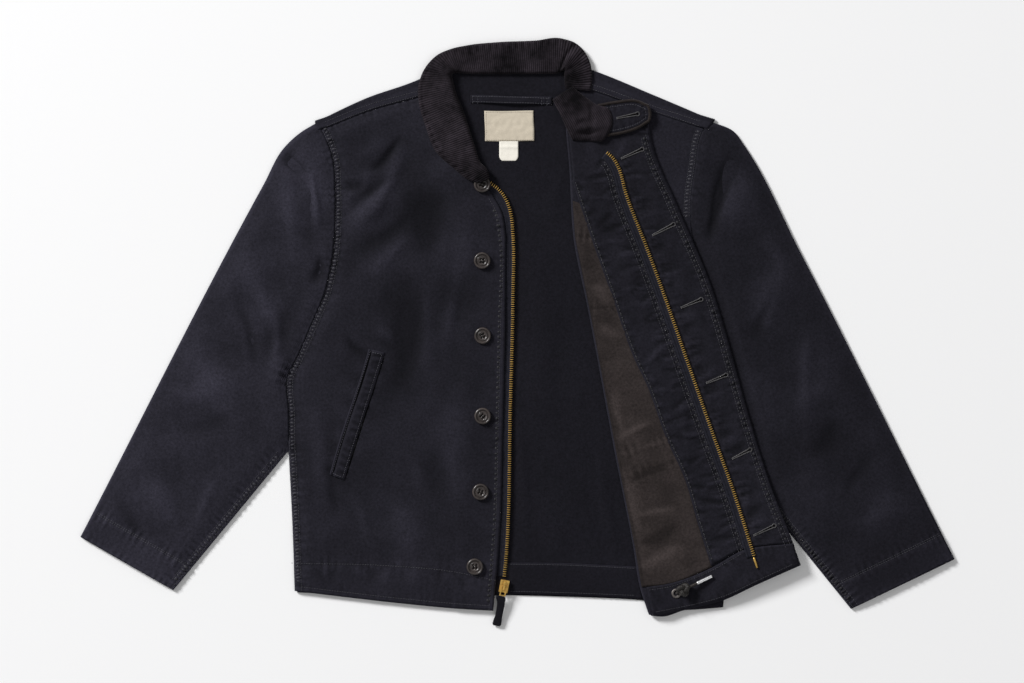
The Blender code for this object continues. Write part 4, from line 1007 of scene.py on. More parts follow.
def make_back():
    """The back panel: its inside shows at the neck and between the fronts, and it wraps the shoulders."""
    step = sizes().cell / MM
    rows = round(590 / step)
    left = resampled(body_side(ARMHOLE_RIGHT, SIDE_RIGHT), even(rows))[::-1]
    right = resampled(body_side(ARMHOLE_LEFT, SIDE_LEFT), even(rows))[::-1]
    inset = 0.4 + 2.6 * smoothstep((40 - left[:, 1]) / 30)
    left[:, 0] += inset
    right[:, 0] -= inset
    shoulder, neck = 52, 56
    across = np.concatenate([
        smooth_line(SHOULDER_RIGHT, even(shoulder)),
        smooth_line(BACK_NECK, even(neck))[1:-1],
        smooth_line(SHOULDER_LEFT, even(shoulder))[::-1],
    ])
    across[0], across[-1] = left[-1], right[-1]
    share = (across[:, 0] - across[0, 0]) / (across[-1, 0] - across[0, 0])
    hem = smooth_line(BACK_HEM, share)
    hem[0], hem[-1] = left[0], right[0]
    rise = (left[:, 1] - left[0, 1]) / (left[-1, 1] - left[0, 1])
    plan = patch(left, right, hem, across, rise, share)
    shown = smoothstep((plan[..., 0] + 14) / 10) * smoothstep((158 - plan[..., 0]) / 10)
    shown = np.maximum(shown * (plan[..., 1] < 185), smoothstep((plan[..., 0] + 84) / 10)
                       * smoothstep((62 - plan[..., 0]) / 10) * (plan[..., 1] >= 150))
    height = creases(plan, CREASES_BACK) + 0.35 * slack(plan, 70, 11) + 0.12 * slack(plan, 22, 12)
    height = np.maximum(height, -0.35) * shown * smoothstep((plan[..., 1] + 279) / 12)
    seam = np.concatenate([
        smooth_line(FORWARD_RIGHT, even(shoulder)), np.zeros((neck - 2, 2)),
        smooth_line(FORWARD_LEFT, even(shoulder))[::-1],
    ])
    top_middle = FRONT_LOW + CLOTH / 2 + 0.25
    radius = (top_middle - CLOTH / 2) / 2
    turns = []
    for angle in np.radians(np.linspace(-60, 90, 6)):
        row = raised(across[None], CLOTH / 2 + radius + radius * np.sin(angle))[0]
        row[:, 1] += radius * np.cos(angle)
        turns.append(row)
    end = seam + unit(across - seam) * 0.2
    for t in even(9)[1:]:
        ridge = 0.55 * bell(t - 0.86, 0.12) + 0.35 * math.sin(t * math.pi)
        turns.append(raised((across + (end - across) * t)[None], top_middle + ridge)[0])
    flat = raised(plan, CLOTH / 2)
    turns = np.array(turns)
    reach = 4.5 * smoothstep(1 - np.arange(len(across)) / 5.0)
    turns[1:, :, 0] += (reach[::-1] - reach)[None]
    middle = np.concatenate([flat, turns])
    cells = np.ones((len(middle) - 1, len(across) - 1), bool)
    cells[len(flat) - 1:, shoulder - 1:-(shoulder - 1)] = False
    down = np.gradient(middle, axis=0)
    normal = np.stack([np.zeros(down.shape[:2]), -down[..., 2], down[..., 1]], axis=-1)
    normal[:len(flat) - 1] = (0, 0, 1)
    half = unit(normal) * CLOTH / 2
    over = middle + half
    over[:len(flat), :, 2] += height
    wear = np.zeros(middle.shape[:2])
    wear[len(flat) + 8:] = 0.5
    wear[len(flat) - 1:len(flat) + 4] = 0.7
    obj = shell("back_cloth", middle - half, over, "inside", wear=wear, cells=cells)
    obj.data.materials.append(MATERIALS["navy"])
    centre, normals = vectors_of(obj.data.polygons, "center") / MM, vectors_of(obj.data.polygons, "normal")
    outside = (normals[:, 2] < -0.2) & (centre[:, 2] < 1.0) | (centre[:, 2] > 1.9) & (centre[:, 1] > 240)
    obj.data.polygons.foreach_set("material_index", outside.astype(np.int32))
    lay_sheet(obj, "back", "navy_inside", "back")


def make_front_left():
    """The folded left front: under layer, rolled fold and flap."""
    step = sizes().cell / MM
    rows = round(600 / step)
    above = round(42 / step)
    fold = smooth_line(FOLD_LEFT, even(rows))
    edge = smooth_line(EDGE_LEFT, even(rows))
    inner = np.concatenate([smooth_line(NECK_LEFT, even(above + 1))[:-1], fold])
    outer = body_side(ARMHOLE_LEFT, SIDE_LEFT)
    outer = resampled(outer[outer[:, 1] <= FORWARD_LEFT[0][1]], even(len(inner)))
    columns = np.concatenate([np.linspace(0, 0.3, 26), np.linspace(0.3, 1.0, 20)[1:]])
    hem = smooth_line(HEM_UNDER[::-1], columns)
    under_plan = patch(outer, inner, smooth_line(FORWARD_LEFT, columns), hem, None, columns)
    arm = by_pitch(ARMHOLE_LEFT, 2)
    lap = bell(nearest(under_plan, arm)[0], 4.0) * (under_plan[..., 1] > 140)
    under_relief = seam_relief(under_plan, [
        (shifted(arm, 1.6), 0.35, 0.2, 8), (shifted(arm, 8.0), 0.4, 0.2, 8),
        (by_pitch(FORWARD_LEFT, 2), 0, 0.2, 8),
    ])
    under_relief *= smoothstep((under_plan[..., 1] - 120) / 30)
    under_relief += 0.35 * slack(under_plan, 60, 21) * smoothstep((under_plan[..., 1] - 150) / 40)
    low_z = FRONT_LOW + CLOTH / 2
    under_mid = raised(under_plan, low_z + lap + np.maximum(under_relief, -0.3))
    shares = np.concatenate([[0, 0.008, 0.02], np.linspace(0.035, 1, round(165 / step))])
    hem = smooth_line(HEM_LEFT, shares)
    flap = np.zeros((len(inner), len(shares), 2))
    flap[above:] = patch(fold, edge, between(fold[0], edge[0], shares), hem, None, shares)
    flap[:above] = flap[above]
    flap_edge = by_pitch(EDGE_LEFT, 2)
    flap_hem = by_pitch(HEM_LEFT, 2)
    relief = seam_relief(flap,
                         [(shifted(flap_edge, 4.0), 0.4, 0.3, 7), (shifted(flap_hem, -5.0), 0.3, 0.3, 7)])
    flap_z = flap_top(flap) - CLOTH / 2 + relief * 0.6
    flap_mid = raised(flap, flap_z)
    radius = (flap_z[:, 0] - low_z) / 2
    arcs = []
    for angle in np.radians(np.linspace(-72, 72, 9)):
        arcs.append(np.stack([inner[:, 0] - radius * np.cos(angle) * 1.15, inner[:, 1],
                              low_z + radius + radius * np.sin(angle)], axis=1))
    middle = np.concatenate([under_mid, np.stack(arcs, axis=1), flap_mid], axis=1)
    across = np.gradient(middle, axis=1)
    normal = np.zeros_like(middle)
    normal[..., 0] = across[..., 2]
    normal[..., 2] = -across[..., 0]
    start, stop = under_mid.shape[1], under_mid.shape[1] + len(arcs)
    turn = slice(start - 1, stop + 2)
    kept = normal[:, turn].copy()
    normal[:, :start] = (0, 0, 1)
    normal[:, stop:] = (0, 0, -1)
    normal[above:, turn] = kept[above:]
    normal /= np.maximum(np.linalg.norm(normal, axis=2), 1e-9)[..., None]
    cells = np.ones((len(inner) - 1, middle.shape[1] - 1), bool)
    cells[:above, start - 1:] = False
    wear = np.zeros(middle.shape[:2])
    wear[above:, start:stop] = 0.35
    wear[:, -3:] = 0.7
    wear[:, stop:] = np.maximum(wear[:, stop:], nearness(flap, [flap_edge, flap_hem], 3.0))
    obj = shell("front_left_cloth", middle - normal * CLOTH / 2, middle + normal * CLOTH / 2,
                "navy", wear=wear, cells=cells, grain=FLAP_GRAIN)
    lay_sheet(obj, "front_left", "navy_cloth", "front_left")


def lay_on_flap(name, plan, wall, material, slot_name, key, relief, extra, wear):
    """A layer of the folded front, made from the flap's own height moved up."""
    low = flap_top(plan) + 0.35 + extra
    # Painted shade in the relief's troughs and painted highlight on its ridges, partly dye fading
    obj = layer(f"{name}_cloth", plan, low, low + wall + relief, material, grain=FLAP_GRAIN, wear=wear,
                fade=fade_and_shade_of(relief, 0.55))
    lay_sheet(obj, key, slot_name, name)


def hem_strip(upper, lower, inward):
    """Plan grid of a hem facing between two lines, the relief of its two sewn rows and its wear."""
    plan = between(upper, lower, even(13)).swapaxes(0, 1)
    relief = seam_relief(plan,
                         [(shifted(upper, inward[0]), *inward[1]), (shifted(lower, inward[2]), *inward[3])])
    return plan, relief, nearness(plan, [upper, lower], 2.6) * 0.8


def make_lining():
    """The brown inner bag between the fold and the facing."""
    rows = round(500 / (sizes().cell / MM))
    y = np.linspace(160, -311, rows)
    left = np.stack([fold_x(y) - 0.9, y], axis=1)
    right = smooth_line(FACING_INNER, np.linspace(0.058, 1.0, rows)) + np.array([1.5, -1.0])
    columns = even(34)
    end = smooth_line((left[-1], (188, -307), right[-1]), columns)
    plan = patch(left, right, between(left[0], right[0], columns), end, None, columns)
    seams = ((((92, 116), (70, 118)), 0.5), (((88, 29), (116, 30)), 0.5), (((127, -180), (193, -157)), 0.5),
             (((124, -150), (184, -131)), -0.5))
    sewn = [(by_pitch(line, 2), groove, 0.3, 8) for line, groove in seams]
    relief = creases(plan, CREASES_LINING) + seam_relief(plan, sewn) + 0.35 * slack(plan, 34, 31)
    relief = relief - 1.3 * bell(columns, 0.03)[None]
    lay_on_flap("lining_left", plan, 0.9, "lining", "brown_lining", "lining", np.maximum(relief, -0.5), 0.0,
                None)


def make_facing():
    """The cloth facing that carries the zip and the buttonholes."""
    y = np.linspace(254, 186, 40)
    left = np.concatenate([np.stack([fold_x(y) + 1.6, y], axis=1), smooth_line(FACING_INNER, even(400))])
    rows = round(560 / (sizes().cell / MM))
    left = resampled(left, even(rows))
    right = smooth_line(EDGE_LEFT, np.linspace(0.0, 0.955, rows)) + np.array([-1.2, 0])
    columns = even(44)
    end = smooth_line((left[-1], (271, -266), right[-1]), columns)
    plan = patch(left, right, between(left[0], right[0], columns), end, None, columns)
    zip_line, inner_edge, front_edge = (by_pitch(line, 2) for line in (ZIP_LEFT, FACING_INNER, EDGE_LEFT))
    sewn = [
        (shifted(inner_edge, -3.0), 0.45, 0.35, 8), (shifted(zip_line, 13.5), 0.5, 0.55, 9),
        (shifted(zip_line, -4.5), 0.5, 0.75, 12), (shifted(front_edge, 5.5), 0.45, 0.45, 9),
    ]
    bunched = (gathers(shifted(zip_line, 9.0)[4:], 9.5, 36, 1.0, 7)
               + gathers(shifted(zip_line, -3.0)[4:], 13, 28, 0.75, 8, -1.0)
               + gathers(shifted(inner_edge, -3.0), 8, 14, 0.5, 9, -1.0)
               + gathers(shifted(front_edge, 6.0), 8, 13, 0.45, 10))
    relief = seam_relief(plan, sewn) + 0.25 * slack(plan, 30, 41) + creases(plan, bunched)
    wear = nearness(plan, [inner_edge, front_edge, shifted(zip_line, -4.0)], 2.6) * 0.9
    lay_on_flap("facing_left", plan, 1.1, "facing", "navy_cloth", "facing", np.maximum(relief, -0.8), 0.35,
                wear)
    return right[-1]


def make_flap_layers():
    """Inner bag, facing and hem facings of the folded front."""
    make_lining()
    make_hem_facings(make_facing())


def make_hem_facings(corner):
    """The hem facing of the folded front, up to the facing's lower corner, and that of the back."""
    columns = even(64)
    upper = smooth_line(((157, -311), (188, -306), (203, -301.5), (237, -287), (272, -267),
                         (corner[0] + 1, corner[1] - 1)), columns)
    lower = smooth_line(((164.5, -343.5), (178, -345), (201, -338.5), (252, -325), (290, -307), (342, -283)),
                        columns)
    plan, relief, wear = hem_strip(upper, lower, (2.5, (0.4, 0.3, 8), -3.0, (0.4, 0.3, 8)))
    lay_on_flap("hem_facing_left", plan, 1.2, "facing", "navy_inside", "hem_band",
                np.maximum(relief, -0.6) + 0.3 * slack(plan, 28, 43), 0.45, wear)
    columns = even(60)
    upper = smooth_line(((-30, -281.5), (52, -282), (147, -286.5)), columns)
    lower = smooth_line(((-30, -321), (-9, -320), (52, -321.5), (154, -326)), columns)
    plan, relief, wear = hem_strip(upper, lower, (2.0, (0.35, 0.3, 8), -3.5, (0.35, 0.3, 7)))
    obj = layer("hem_facing_back_cloth", plan, BACK_TOP + 0.3, BACK_TOP + 1.4 + np.maximum(relief, -0.5),
                "inside", wear=wear)
    lay_sheet(obj, "hem_back", "navy_inside", "hem_facing_back")


def outside_flap(plan):
    """One where a sleeve is in the open, falling to nothing where the folded front lies on it."""
    edge = across_at(EDGE_LEFT, plan[..., 1])
    return np.where(plan[..., 0] < 0, 1.0, smoothstep((plan[..., 0] - edge - 3) / 14))


def ring(grid, inset, bottom, above, edge_round):
    """Along a sleeve's underside from one edge to the other, round that edge, and back over the top."""
    run = unit(grid[:, -1] - grid[:, 0])
    inner = grid.copy()
    inner[:, 0] += run * inset
    inner[:, -1] -= run * inset
    tuck = inner.copy()
    tuck[:, 0] += run * edge_round
    tuck[:, -1] -= run * edge_round
    half = SLEEVE_TOP / 2
    near_a, near_b = (inner[:, end:end + 1 or None] + run[:, None] * edge_round * way
                      for end, way in ((0, 0.3), (-1, -0.3)))
    above = np.broadcast_to(above, grid.shape[:2])
    low = half + (bottom - half) * 0.7
    return np.concatenate([
        raised(near_a, low), raised(tuck, bottom), raised(near_b, low), raised(inner[:, -1:], half),
        raised(near_b, half + (above[:, -1:] - half) * 0.7), raised(tuck, above)[:, ::-1],
        raised(near_a, half + (above[:, :1] - half) * 0.7), raised(inner[:, :1], half),
    ], axis=1)


def make_sleeve(side_name, armhole, outer, lower, table, side):
    """One sleeve: a flattened tube, flat below, softly creased above, with a thicker stitched cuff."""
    step = sizes().cell / MM
    arm = smooth_line(armhole, even(96)) + np.array([-0.6 * side, 0])
    arm[0] = outer[0]
    along = np.concatenate([np.linspace(0, 0.06, 16), np.linspace(0.06, 1, round(520 / step))[1:]])
    first = smooth_line(outer, along)
    last = smooth_line(lower, along)
    last[0] = arm[-1]
    share = distances(arm)
    share /= share[-1]
    plan = patch(first, last, arm, between(first[-1], last[-1], share), along, share)
    edge_line = by_pitch(lower, 2)
    cuff_line = by_pitch((outer[-1], lower[-1]), 2)
    open_part = outside_flap(plan)
    inward = 1 if side > 0 else -1
    hem_line = shifted(cuff_line, 34 * inward)
    outer_line = by_pitch(outer, 2)
    near_row, far_row = shifted(edge_line, -3.2 * inward), shifted(edge_line, -9.5 * inward)
    sewn = [(hem_line, 0.5, 0.4, 9), (near_row, 0.45, 0.35, 8), (far_row, 0.45, 0.35, 9),
            (cuff_line, 0, 0.3, 8),
            (arm, 0.0, 0.45, 12)]
    relief = seam_relief(plan, sewn) + felled(plan, shifted(edge_line, -6.4 * inward), 0.85, 5.2)
    bunched = (gathers(far_row[6:], 8, 15, 0.4, 20 + side, -1.0 * inward)
               + gathers(arm[4:-4], 11, 22, 0.4, 30 + side, 1.0 * inward)
               + gathers(hem_line, 9, 12, 0.25, 40 + side))
    body = (creases(plan, table) + creases(plan, bunched) + 1.0 * slack(plan, 85, 50 + side)
            + 0.35 * slack(plan, 26, 60 + side))
    from_cuff = nearest(plan, cuff_line)[0]
    hem_thick = 0.7 * smoothstep((35 - from_cuff) / 3)
    low_at_arm = -1.3 * bell(nearest(plan, arm)[0], 6.0)
    interior = clear_of(plan, edge_line, 26) * clear_of(plan, outer_line, 26)
    interior *= smoothstep(from_cuff / 40)
    body *= 0.3 + 0.7 * interior
    body += LOFT * interior
    top = SLEEVE_TOP + (np.maximum(body, -0.5) + relief + hem_thick) * open_part + low_at_arm
    puff = 1.1 * open_part * hump(share)[None] ** 0.6 * smoothstep(along / 0.1)[:, None]
    top = top + puff
    wear = nearness(plan, [edge_line, cuff_line, outer_line, far_row], 3.4)
    wear = np.maximum(wear, 0.5 * nearness(plan, [hem_line], 3.0))

    outside = ring(plan, 0.0, 0.0, top, 1.7)
    keep = np.unique(np.concatenate([np.arange(0, len(along), 14), [len(along) - 3, len(along) - 1]]))
    inside = ring(plan[keep], CLOTH, CLOTH, np.maximum(top[keep] - CLOTH, CLOTH + 0.3), 1.5)
    one = np.ones((len(along), 1))
    ring_wear = np.concatenate([one * 0.5, wear * 0.3, one * 0.6, one * 0.8, one * 0.6, wear[:, ::-1],
                                one * 0.5, one * 0.6], axis=1)
    axis = plan[-1].mean(0) - plan[0].mean(0)
    # Painted shade in the troughs and painted highlight on the ridges, partly dye fading, paler towards the
    # cuff; painted shade where the folded front lies on the sleeve, and in the ring a little darker
    # underneath and a little paler on the rounded edges
    fade = fade_and_shade_of(body - LOFT * interior + 2.0 * relief) + 0.16 * smoothstep((44 - from_cuff) / 10)
    fade = np.clip(fade, 0, 1) * open_part + 0.3 * (1 - open_part)
    plain = one * 0.5
    ring_fade_and_shade = np.concatenate([plain, fade * 0 + 0.4, plain, plain, plain, fade[:, ::-1], plain, plain],
                               axis=1)
    name = f"sleeve_{side_name}"
    obj = tube_shell(f"{name}_cloth", outside, inside, name, math.atan2(axis[0], -axis[1]), ring_wear,
                     ring_fade_and_shade)
    SLEEVE_SEWN[name] = [hem_line[2:-2], shifted(hem_line, 2.2 * inward)[2:-2], near_row[2:], far_row[4:]]
    lay_sheet(obj, name, "navy_cloth", name)


def make_sleeves():
    make_sleeve("right", ARMHOLE_RIGHT, SLEEVE_RIGHT_OUTER, SLEEVE_RIGHT_LOWER, CREASES_SLEEVE_RIGHT, -1)
    make_sleeve("left", ARMHOLE_LEFT, SLEEVE_LEFT_OUTER, SLEEVE_LEFT_LOWER, CREASES_SLEEVE_LEFT, 1)


# Collar

# Inner x, y, outer x, y, underside, height at the roll, height at the outer edge
COLLAR_SECTIONS = (
    (-33.8, 187.0, -46, 181, 9.4, 3.0, 2.6),
    (-36.5, 197, -58, 184.5, 8.9, 4.0, 2.6),
    (-45.5, 208, -80, 201, 5.8, 5.0, 2.8),
    (-55, 236, -100, 220, 4.2, 6.0, 2.8),
    (-66, 270, -112, 249, 3.9, 6.5, 2.8),
    (-75, 292, -120.5, 279, 3.9, 6.5, 2.8),
    (-78.5, 306, -120.5, 303, 3.9, 6.5, 2.8),
    (-79.5, 313, -113, 322, 3.9, 6.2, 3.0),
    (-77, 316, -98, 338, 3.4, 6.0, 3.2),
    (-71, 316, -82, 345.5, 0.4, 6.5, 5.0),
    (-56, 315, -62, 350, 0.0, 6.0, 6.5),
    (-20, 314.8, -24, 354, 0.0, 5.8, 6.8),
    (24, 315, 22, 356, 0.0, 5.8, 6.8),
    (50, 316, 54, 358.5, 0.0, 6.2, 6.8),
    (56, 319, 72, 352, 2.0, 6.2, 4.6),
    (57, 314, 87, 333, 3.9, 4.0, 2.8),
    (57.5, 306, 91, 312, 3.9, 2.6, 2.4),
    (58, 297, 89.5, 294, 3.9, 2.4, 2.2),
)
COLLAR_END_LEFT = ((42.5, 283.5), (54, 261), (60.5, 246), (67.5, 233))
COLLAR_END_RIGHT = ((66.5, 299.5), (82, 287), (97, 277), (111, 272), (116, 257), (111, 241), (103, 232))
COLLAR_END_LOW = 7.1
TAB_TOP = ((98, 277), (120, 281), (146.5, 282), (157, 277.5))
TAB_BOTTOM = ((109.5, 238.5), (125, 241), (150, 249.5), (158.5, 255))
# Creases of the collar: share along it, share across it, half lengths both ways in millimetres, height
COLLAR_DENTS = (
    (0.10, 0.75, 7, 12, 0.9), (0.16, 0.35, 6, 16, -0.8), (0.24, 0.8, 8, 12, 0.8), (0.30, 0.3, 9, 14, 0.7),
    (0.37, 0.7, 6, 14, -0.7), (0.44, 0.5, 5, 20, 1.1), (0.47, 0.4, 4, 20, -1.2), (0.52, 0.8, 9, 9, 0.8),
    (0.58, 0.3, 7, 8, 0.5), (0.66, 0.75, 10, 8, 0.7), (0.72, 0.3, 8, 9, 0.5), (0.78, 0.7, 6, 10, -0.6),
    (0.868, 0.5, 2.6, 30, -2.4), (0.885, 0.6, 4, 22, 1.2), (0.92, 0.35, 4, 12, -1.6), (0.95, 0.7, 5, 12, 1.0),
)


def wales(distance):
    """Round pile ridges: one for each pitch, with narrow furrows between them."""
    pitch = sizes().wale / MM
    return np.abs(np.sin(distance / pitch * math.pi)) ** 0.65


def make_collar():
    """Corduroy band: right tip, roll line, round the back of the neck to the left shoulder."""
    wale = sizes().wale / MM
    rough = smooth_line(COLLAR_SECTIONS, even(400))
    middle = (rough[:, :2] + rough[:, 2:4]) / 2
    length = line_length(middle)
    count = round(length / wale * 6)
    s = np.linspace(0, length, count)
    sections = np.stack([np.interp(s, distances(middle), rough[:, k]) for k in range(7)], axis=1)
    inner, outer = sections[:, :2], sections[:, 2:4]
    base, roll, rim = sections[:, 4:5], sections[:, 5:6], sections[:, 6:7]
    u = (1 - np.cos(np.linspace(0, math.pi, 32))) / 2
    width = np.linalg.norm(outer - inner, axis=1)[:, None]
    height = roll + (rim - roll) * smoothstep(u * 1.1)[None]
    from_inner, from_outer = u[None] * width, (1 - u)[None] * width
    edge = 1.0
    for gap, reach in ((from_inner, 6.5), (from_outer, 3.0)):
        edge = edge * (1 - (1 - np.clip(gap / reach, 0, 1)) ** 2.2) ** 0.5
    ridge = wales(s)[:, None] * (0.55 + 0.45 * edge)
    dents = np.zeros((count, len(u)))
    for place_along, place_across, reach, half, lift in COLLAR_DENTS:
        a = (s[:, None] - place_along * length - 0.25 * (from_inner - width / 2)) / reach
        b = (from_inner - place_across * width) / half
        dents += lift * np.exp(-(a**2) - b**2)
    pucker = 0.5 * np.sin(s / 8.3 * 2 * math.pi + 2 * np.sin(s / 40))[:, None] * bell(from_outer - 4, 5)
    groove = -0.7 * bell(from_outer - 5.5, 1.2) * (s < 0.42 * length)[:, None]
    loose = 0.35 * np.sin(s / 23 + 1)[:, None] * np.sin(u * 5)[None]
    over_neck = 1.9 * ((s > 0.45 * length) & (s < 0.9 * length))[:, None] * (base < 1.5)
    low = base + (1 - smoothstep(from_inner / 6.0)) * over_neck
    height = np.maximum(height + dents + pucker + groove + loose, 1.6)
    top = low + height * edge + 0.5 * (ridge - 0.5) * edge
    tuck = 0.35 * (ridge - 0.5) * (1 - edge) * np.sign(0.5 - u)[None]
    plan = between(inner, outer, u) - unit(outer - inner)[:, None] * tuck[..., None]
    v = np.linspace(0.06, 0.94, 9)
    below = raised(between(inner, outer, v), base + (1 - smoothstep(v[None] * width / 6.0)) * over_neck)
    rings = np.concatenate([below, raised(plan, top + 0.25)[:, ::-1]], axis=1)
    value = np.concatenate([np.full((count, len(v)), 0.5), ridge[:, ::-1]], axis=1)
    obj = loft("collar_cloth", rings, "corduroy", attributes=[("wale", value)])
    lay_sheet(obj, "collar", "corduroy", "collar")


def corduroy_distance(plan):
    """Distance across the wales of the collar's end, which lean over towards its tip."""
    x, y = plan[..., 0], plan[..., 1] - 236
    return (x + 0.42 * y + 0.003 * y * y) * 0.93


def make_collar_end():
    rows, columns = 64, 150
    left = smooth_line(COLLAR_END_LEFT, even(rows))
    right = smooth_line(COLLAR_END_RIGHT, even(rows))
    shares = even(columns)
    top, bottom = between(left[0], right[0], shares), between(left[-1], right[-1], shares)
    plan = patch(left, right, top, bottom, None, shares)
    down = even(rows)[:, None]
    edge = np.minimum(1, 4.2 * np.minimum(np.minimum(shares, 1 - shares)[None] * 3,
                                          np.minimum(down, 1 - down) * 3)) ** 0.5
    ridge = wales(corduroy_distance(plan))
    wrinkle = creases(plan, ((66, 246, 104, 250, 3.5, 1.3), (70, 240, 100, 243, 2.5, -1.0),
                             (60, 262, 90, 258, 7, 0.7), (54, 284, 72, 270, 6, 0.8),
                             (80, 280, 92, 252, 6, 0.6)))
    over = 2.5 * smoothstep((plan[..., 0] - 88) / 9)
    top_z = COLLAR_END_LOW + 0.6 + over + (2.2 + 1.5 * wrinkle + 0.45 * (ridge - 0.5)) * edge
    obj = layer("collar_left_end_cloth", plan, COLLAR_END_LOW, top_z, "corduroy_end")
    wale = obj.data.attributes.new("wale", "FLOAT", "POINT")
    points = vectors_of(obj.data.vertices, "co") / MM
    wale.data.foreach_set("value", wales(corduroy_distance(points)).astype(np.float32))
    lay_sheet(obj, "collar_end", "corduroy", "collar_left_end")


def tab_outline(inset, count):
    """Closed line round the throat tab, moved inwards by inset: top edge, round end, bottom edge."""
    upper = smooth_line(TAB_TOP, even(60))
    lower = smooth_line(TAB_BOTTOM, even(60))
    middle = (upper[-1] + lower[-1]) / 2
    half = (upper[-1] - lower[-1]) / 2
    angle = np.radians(np.linspace(90, -90, 30))[1:-1]
    out = np.array([half[1], -half[0]]) * 0.42
    end = middle + half * np.sin(angle)[:, None] + out * np.cos(angle)[:, None]
    line = np.concatenate([upper, end, lower[::-1]])
    return resampled(shifted(line, inset), even(count))


def make_tab():
    """Throat tab: navy cloth with a corduroy rim all round and rows of stitches inside it."""
    outline = tab_outline(2.6, 121)
    upper, lower = outline[:61], outline[:59:-1]
    shares = even(25)
    plan = between(upper, lower, shares)
    crown = 0.7 * hump(shares)[None] ** 0.5 * hump(np.clip(even(61) * 1.02, 0, 1) * 0.5 + 0.5)[:, None] ** 0.3
    relief = seam_relief(plan, [(tab_outline(6.5, 121), 0.5, 0.35, 6)])
    low = COLLAR_END_LOW + 0.3
    obj = layer("throat_tab_cloth", plan, low, low + 1.9 + crown + relief, "facing")
    lay_sheet(obj, "tab", "navy_cloth", "throat_tab")
    line = tab_outline(1.3, 480)
    along = np.linspace(0, line_length(line), len(line))
    swell = 1.8 + 0.22 * (wales(along) - 0.5)
    path = raised(line, COLLAR_END_LOW + 1.7)
    rim = loft("throat_tab_rim", tube_rings(path, swell, 10), "rim")
    settle(rim, "corduroy")


# Trims

def make_label(name, plan, material, slot_name, crease):
    """A label on the back's inside, with worn edges."""
    low = BACK_TOP + 0.3
    border = np.concatenate([plan[0], plan[:, -1], plan[-1][::-1], plan[:, 0][::-1]])
    obj = layer(f"{name}_cloth", plan, low, low + 0.8 + crease, material, wear=nearness(plan, [border], 1.6))
    lay_sheet(obj, name, slot_name, name)


def make_trims():
    """Hang loop, neck label and size tab."""
    low = BACK_TOP + 0.3
    rows, columns = 90, 9
    t = even(rows)
    line = np.stack([-57.5 + 99.5 * t, 284.5 - 2.5 * t + 0.5 * np.sin(t * 9)], axis=1)
    half = np.linspace(-4.75, 4.75, columns)
    plan = line[:, None] + np.array([0.02, 1.0]) * half[None, :, None]
    bow = low + 1.7 * hump((t - 0.07) / 0.86) ** 0.7
    crown = 0.35 * (1 - (half / 5.2) ** 2)[None] - 0.35 * bell(np.abs(half) - 3.3, 0.7)[None]
    tack = 0.5 * sum(bell((t - at) * 99.5, 1.6) for at in (0.035, 0.1, 0.88, 0.945))[:, None]
    bow = bow[:, None]
    obj = layer("hang_loop_cloth", plan, bow, bow + 1.2 + crown - tack, "facing",
                wear=np.broadcast_to(np.abs(half) > 4, plan.shape[:2]) * 0.8)
    lay_sheet(obj, "loop", "navy_cloth", "hang_loop")
    x, y = np.meshgrid(np.linspace(-40, 20, 49), np.linspace(270, 233, 33))
    sway = 0.5 * np.sin(y / 9)
    plan = np.stack([x + sway, y + 0.35 * np.sin(x / 13)], axis=-1)
    crease = 0.25 * slack(plan, 22, 71) + 0.2 * slack(plan, 9, 72) - 0.25 * bell(y - 252, 3)
    make_label("neck_label", plan, "label", "label_cloth", crease)
    t = even(30)
    half = 11.6 * (1 - np.clip((t - 0.72) / 0.28, 0, 1) ** 2.6 * 0.3)
    plan = np.stack([-10.6 + half[:, None] * np.linspace(-1, 1, 21)[None],
                     np.broadcast_to((232.8 - 23.9 * t)[:, None], (30, 21))], axis=-1)
    crease = 0.35 * bell(t - 0.3, 0.08)[:, None] + 0.15 * slack(plan, 12, 73)
    make_label("size_tab", plan, "size_tab", "tab_cloth", crease)


def make_welt():
    """The slanted pocket's welt, with sheets of painted shadow in the slit along it and at its open side."""
    corners = np.array(WELT_CORNERS, float)
    down, shares = even(84), even(15)
    first, last = between(corners[0], corners[3], down), between(corners[1], corners[2], down)
    plan = between(first, last, shares)
    plan = plan + np.array([1.2, 0.3]) * np.sin(down * 7)[:, None, None] * 0.6
    low = drop("front_right", plan.reshape(-1, 2))[:, 2].reshape(plan.shape[:2]).mean(1, keepdims=True)
    low = np.convolve(np.pad(low[:, 0], 6, mode="edge"), np.full(13, 1 / 13), "valid")[:, None] - 0.4
    thick = np.interp(shares, [0, 0.06, 0.12, 0.16, 0.24, 0.3, 0.42, 0.9, 1.0],
                      [1.4, 2.4, 2.2, 0.7, 0.7, 2.3, 2.7, 2.3, 1.5])[None]
    pucker = 0.32 * np.sin(down * 96 + 1.5 * np.sin(down * 23))[:, None] * smoothstep((shares - 0.3) / 0.2)
    relief = seam_relief(plan, [(shifted(last, 2.4), 0.4, 0.35, 6)]) + pucker
    # Painted shade in the welt's troughs and painted highlight on its ridges, partly dye fading
    obj = layer("welt_right_cloth", plan, low, low + thick + relief, "navy", fade=fade_and_shade_of(relief - 0.15, 0.7),
                wear=nearness(plan, [first, last, plan[0], plan[-1]], 1.8))
    lay_sheet(obj, "welt", "navy_cloth", "welt_right")
    # Painted shadow: near-black sheets in the welt's slit and along its open side
    for number, (share, half, lift) in enumerate(((0.2, 1.5, 0.5), (1.04, 0.8, 0.35)), start=1):
        gap = (first + (last - first) * share)[3:-3]
        key = "welt" if share < 1 else "front_right"
        level = drop(key, gap)[:, 2:]
        gap = np.stack([shifted(gap, half), shifted(gap, -half)], axis=1)
        settle(layer(f"welt_shadow_{number}", gap, level - 0.3, level + lift * 0.4, "slit"), "navy_inside")


# Zip

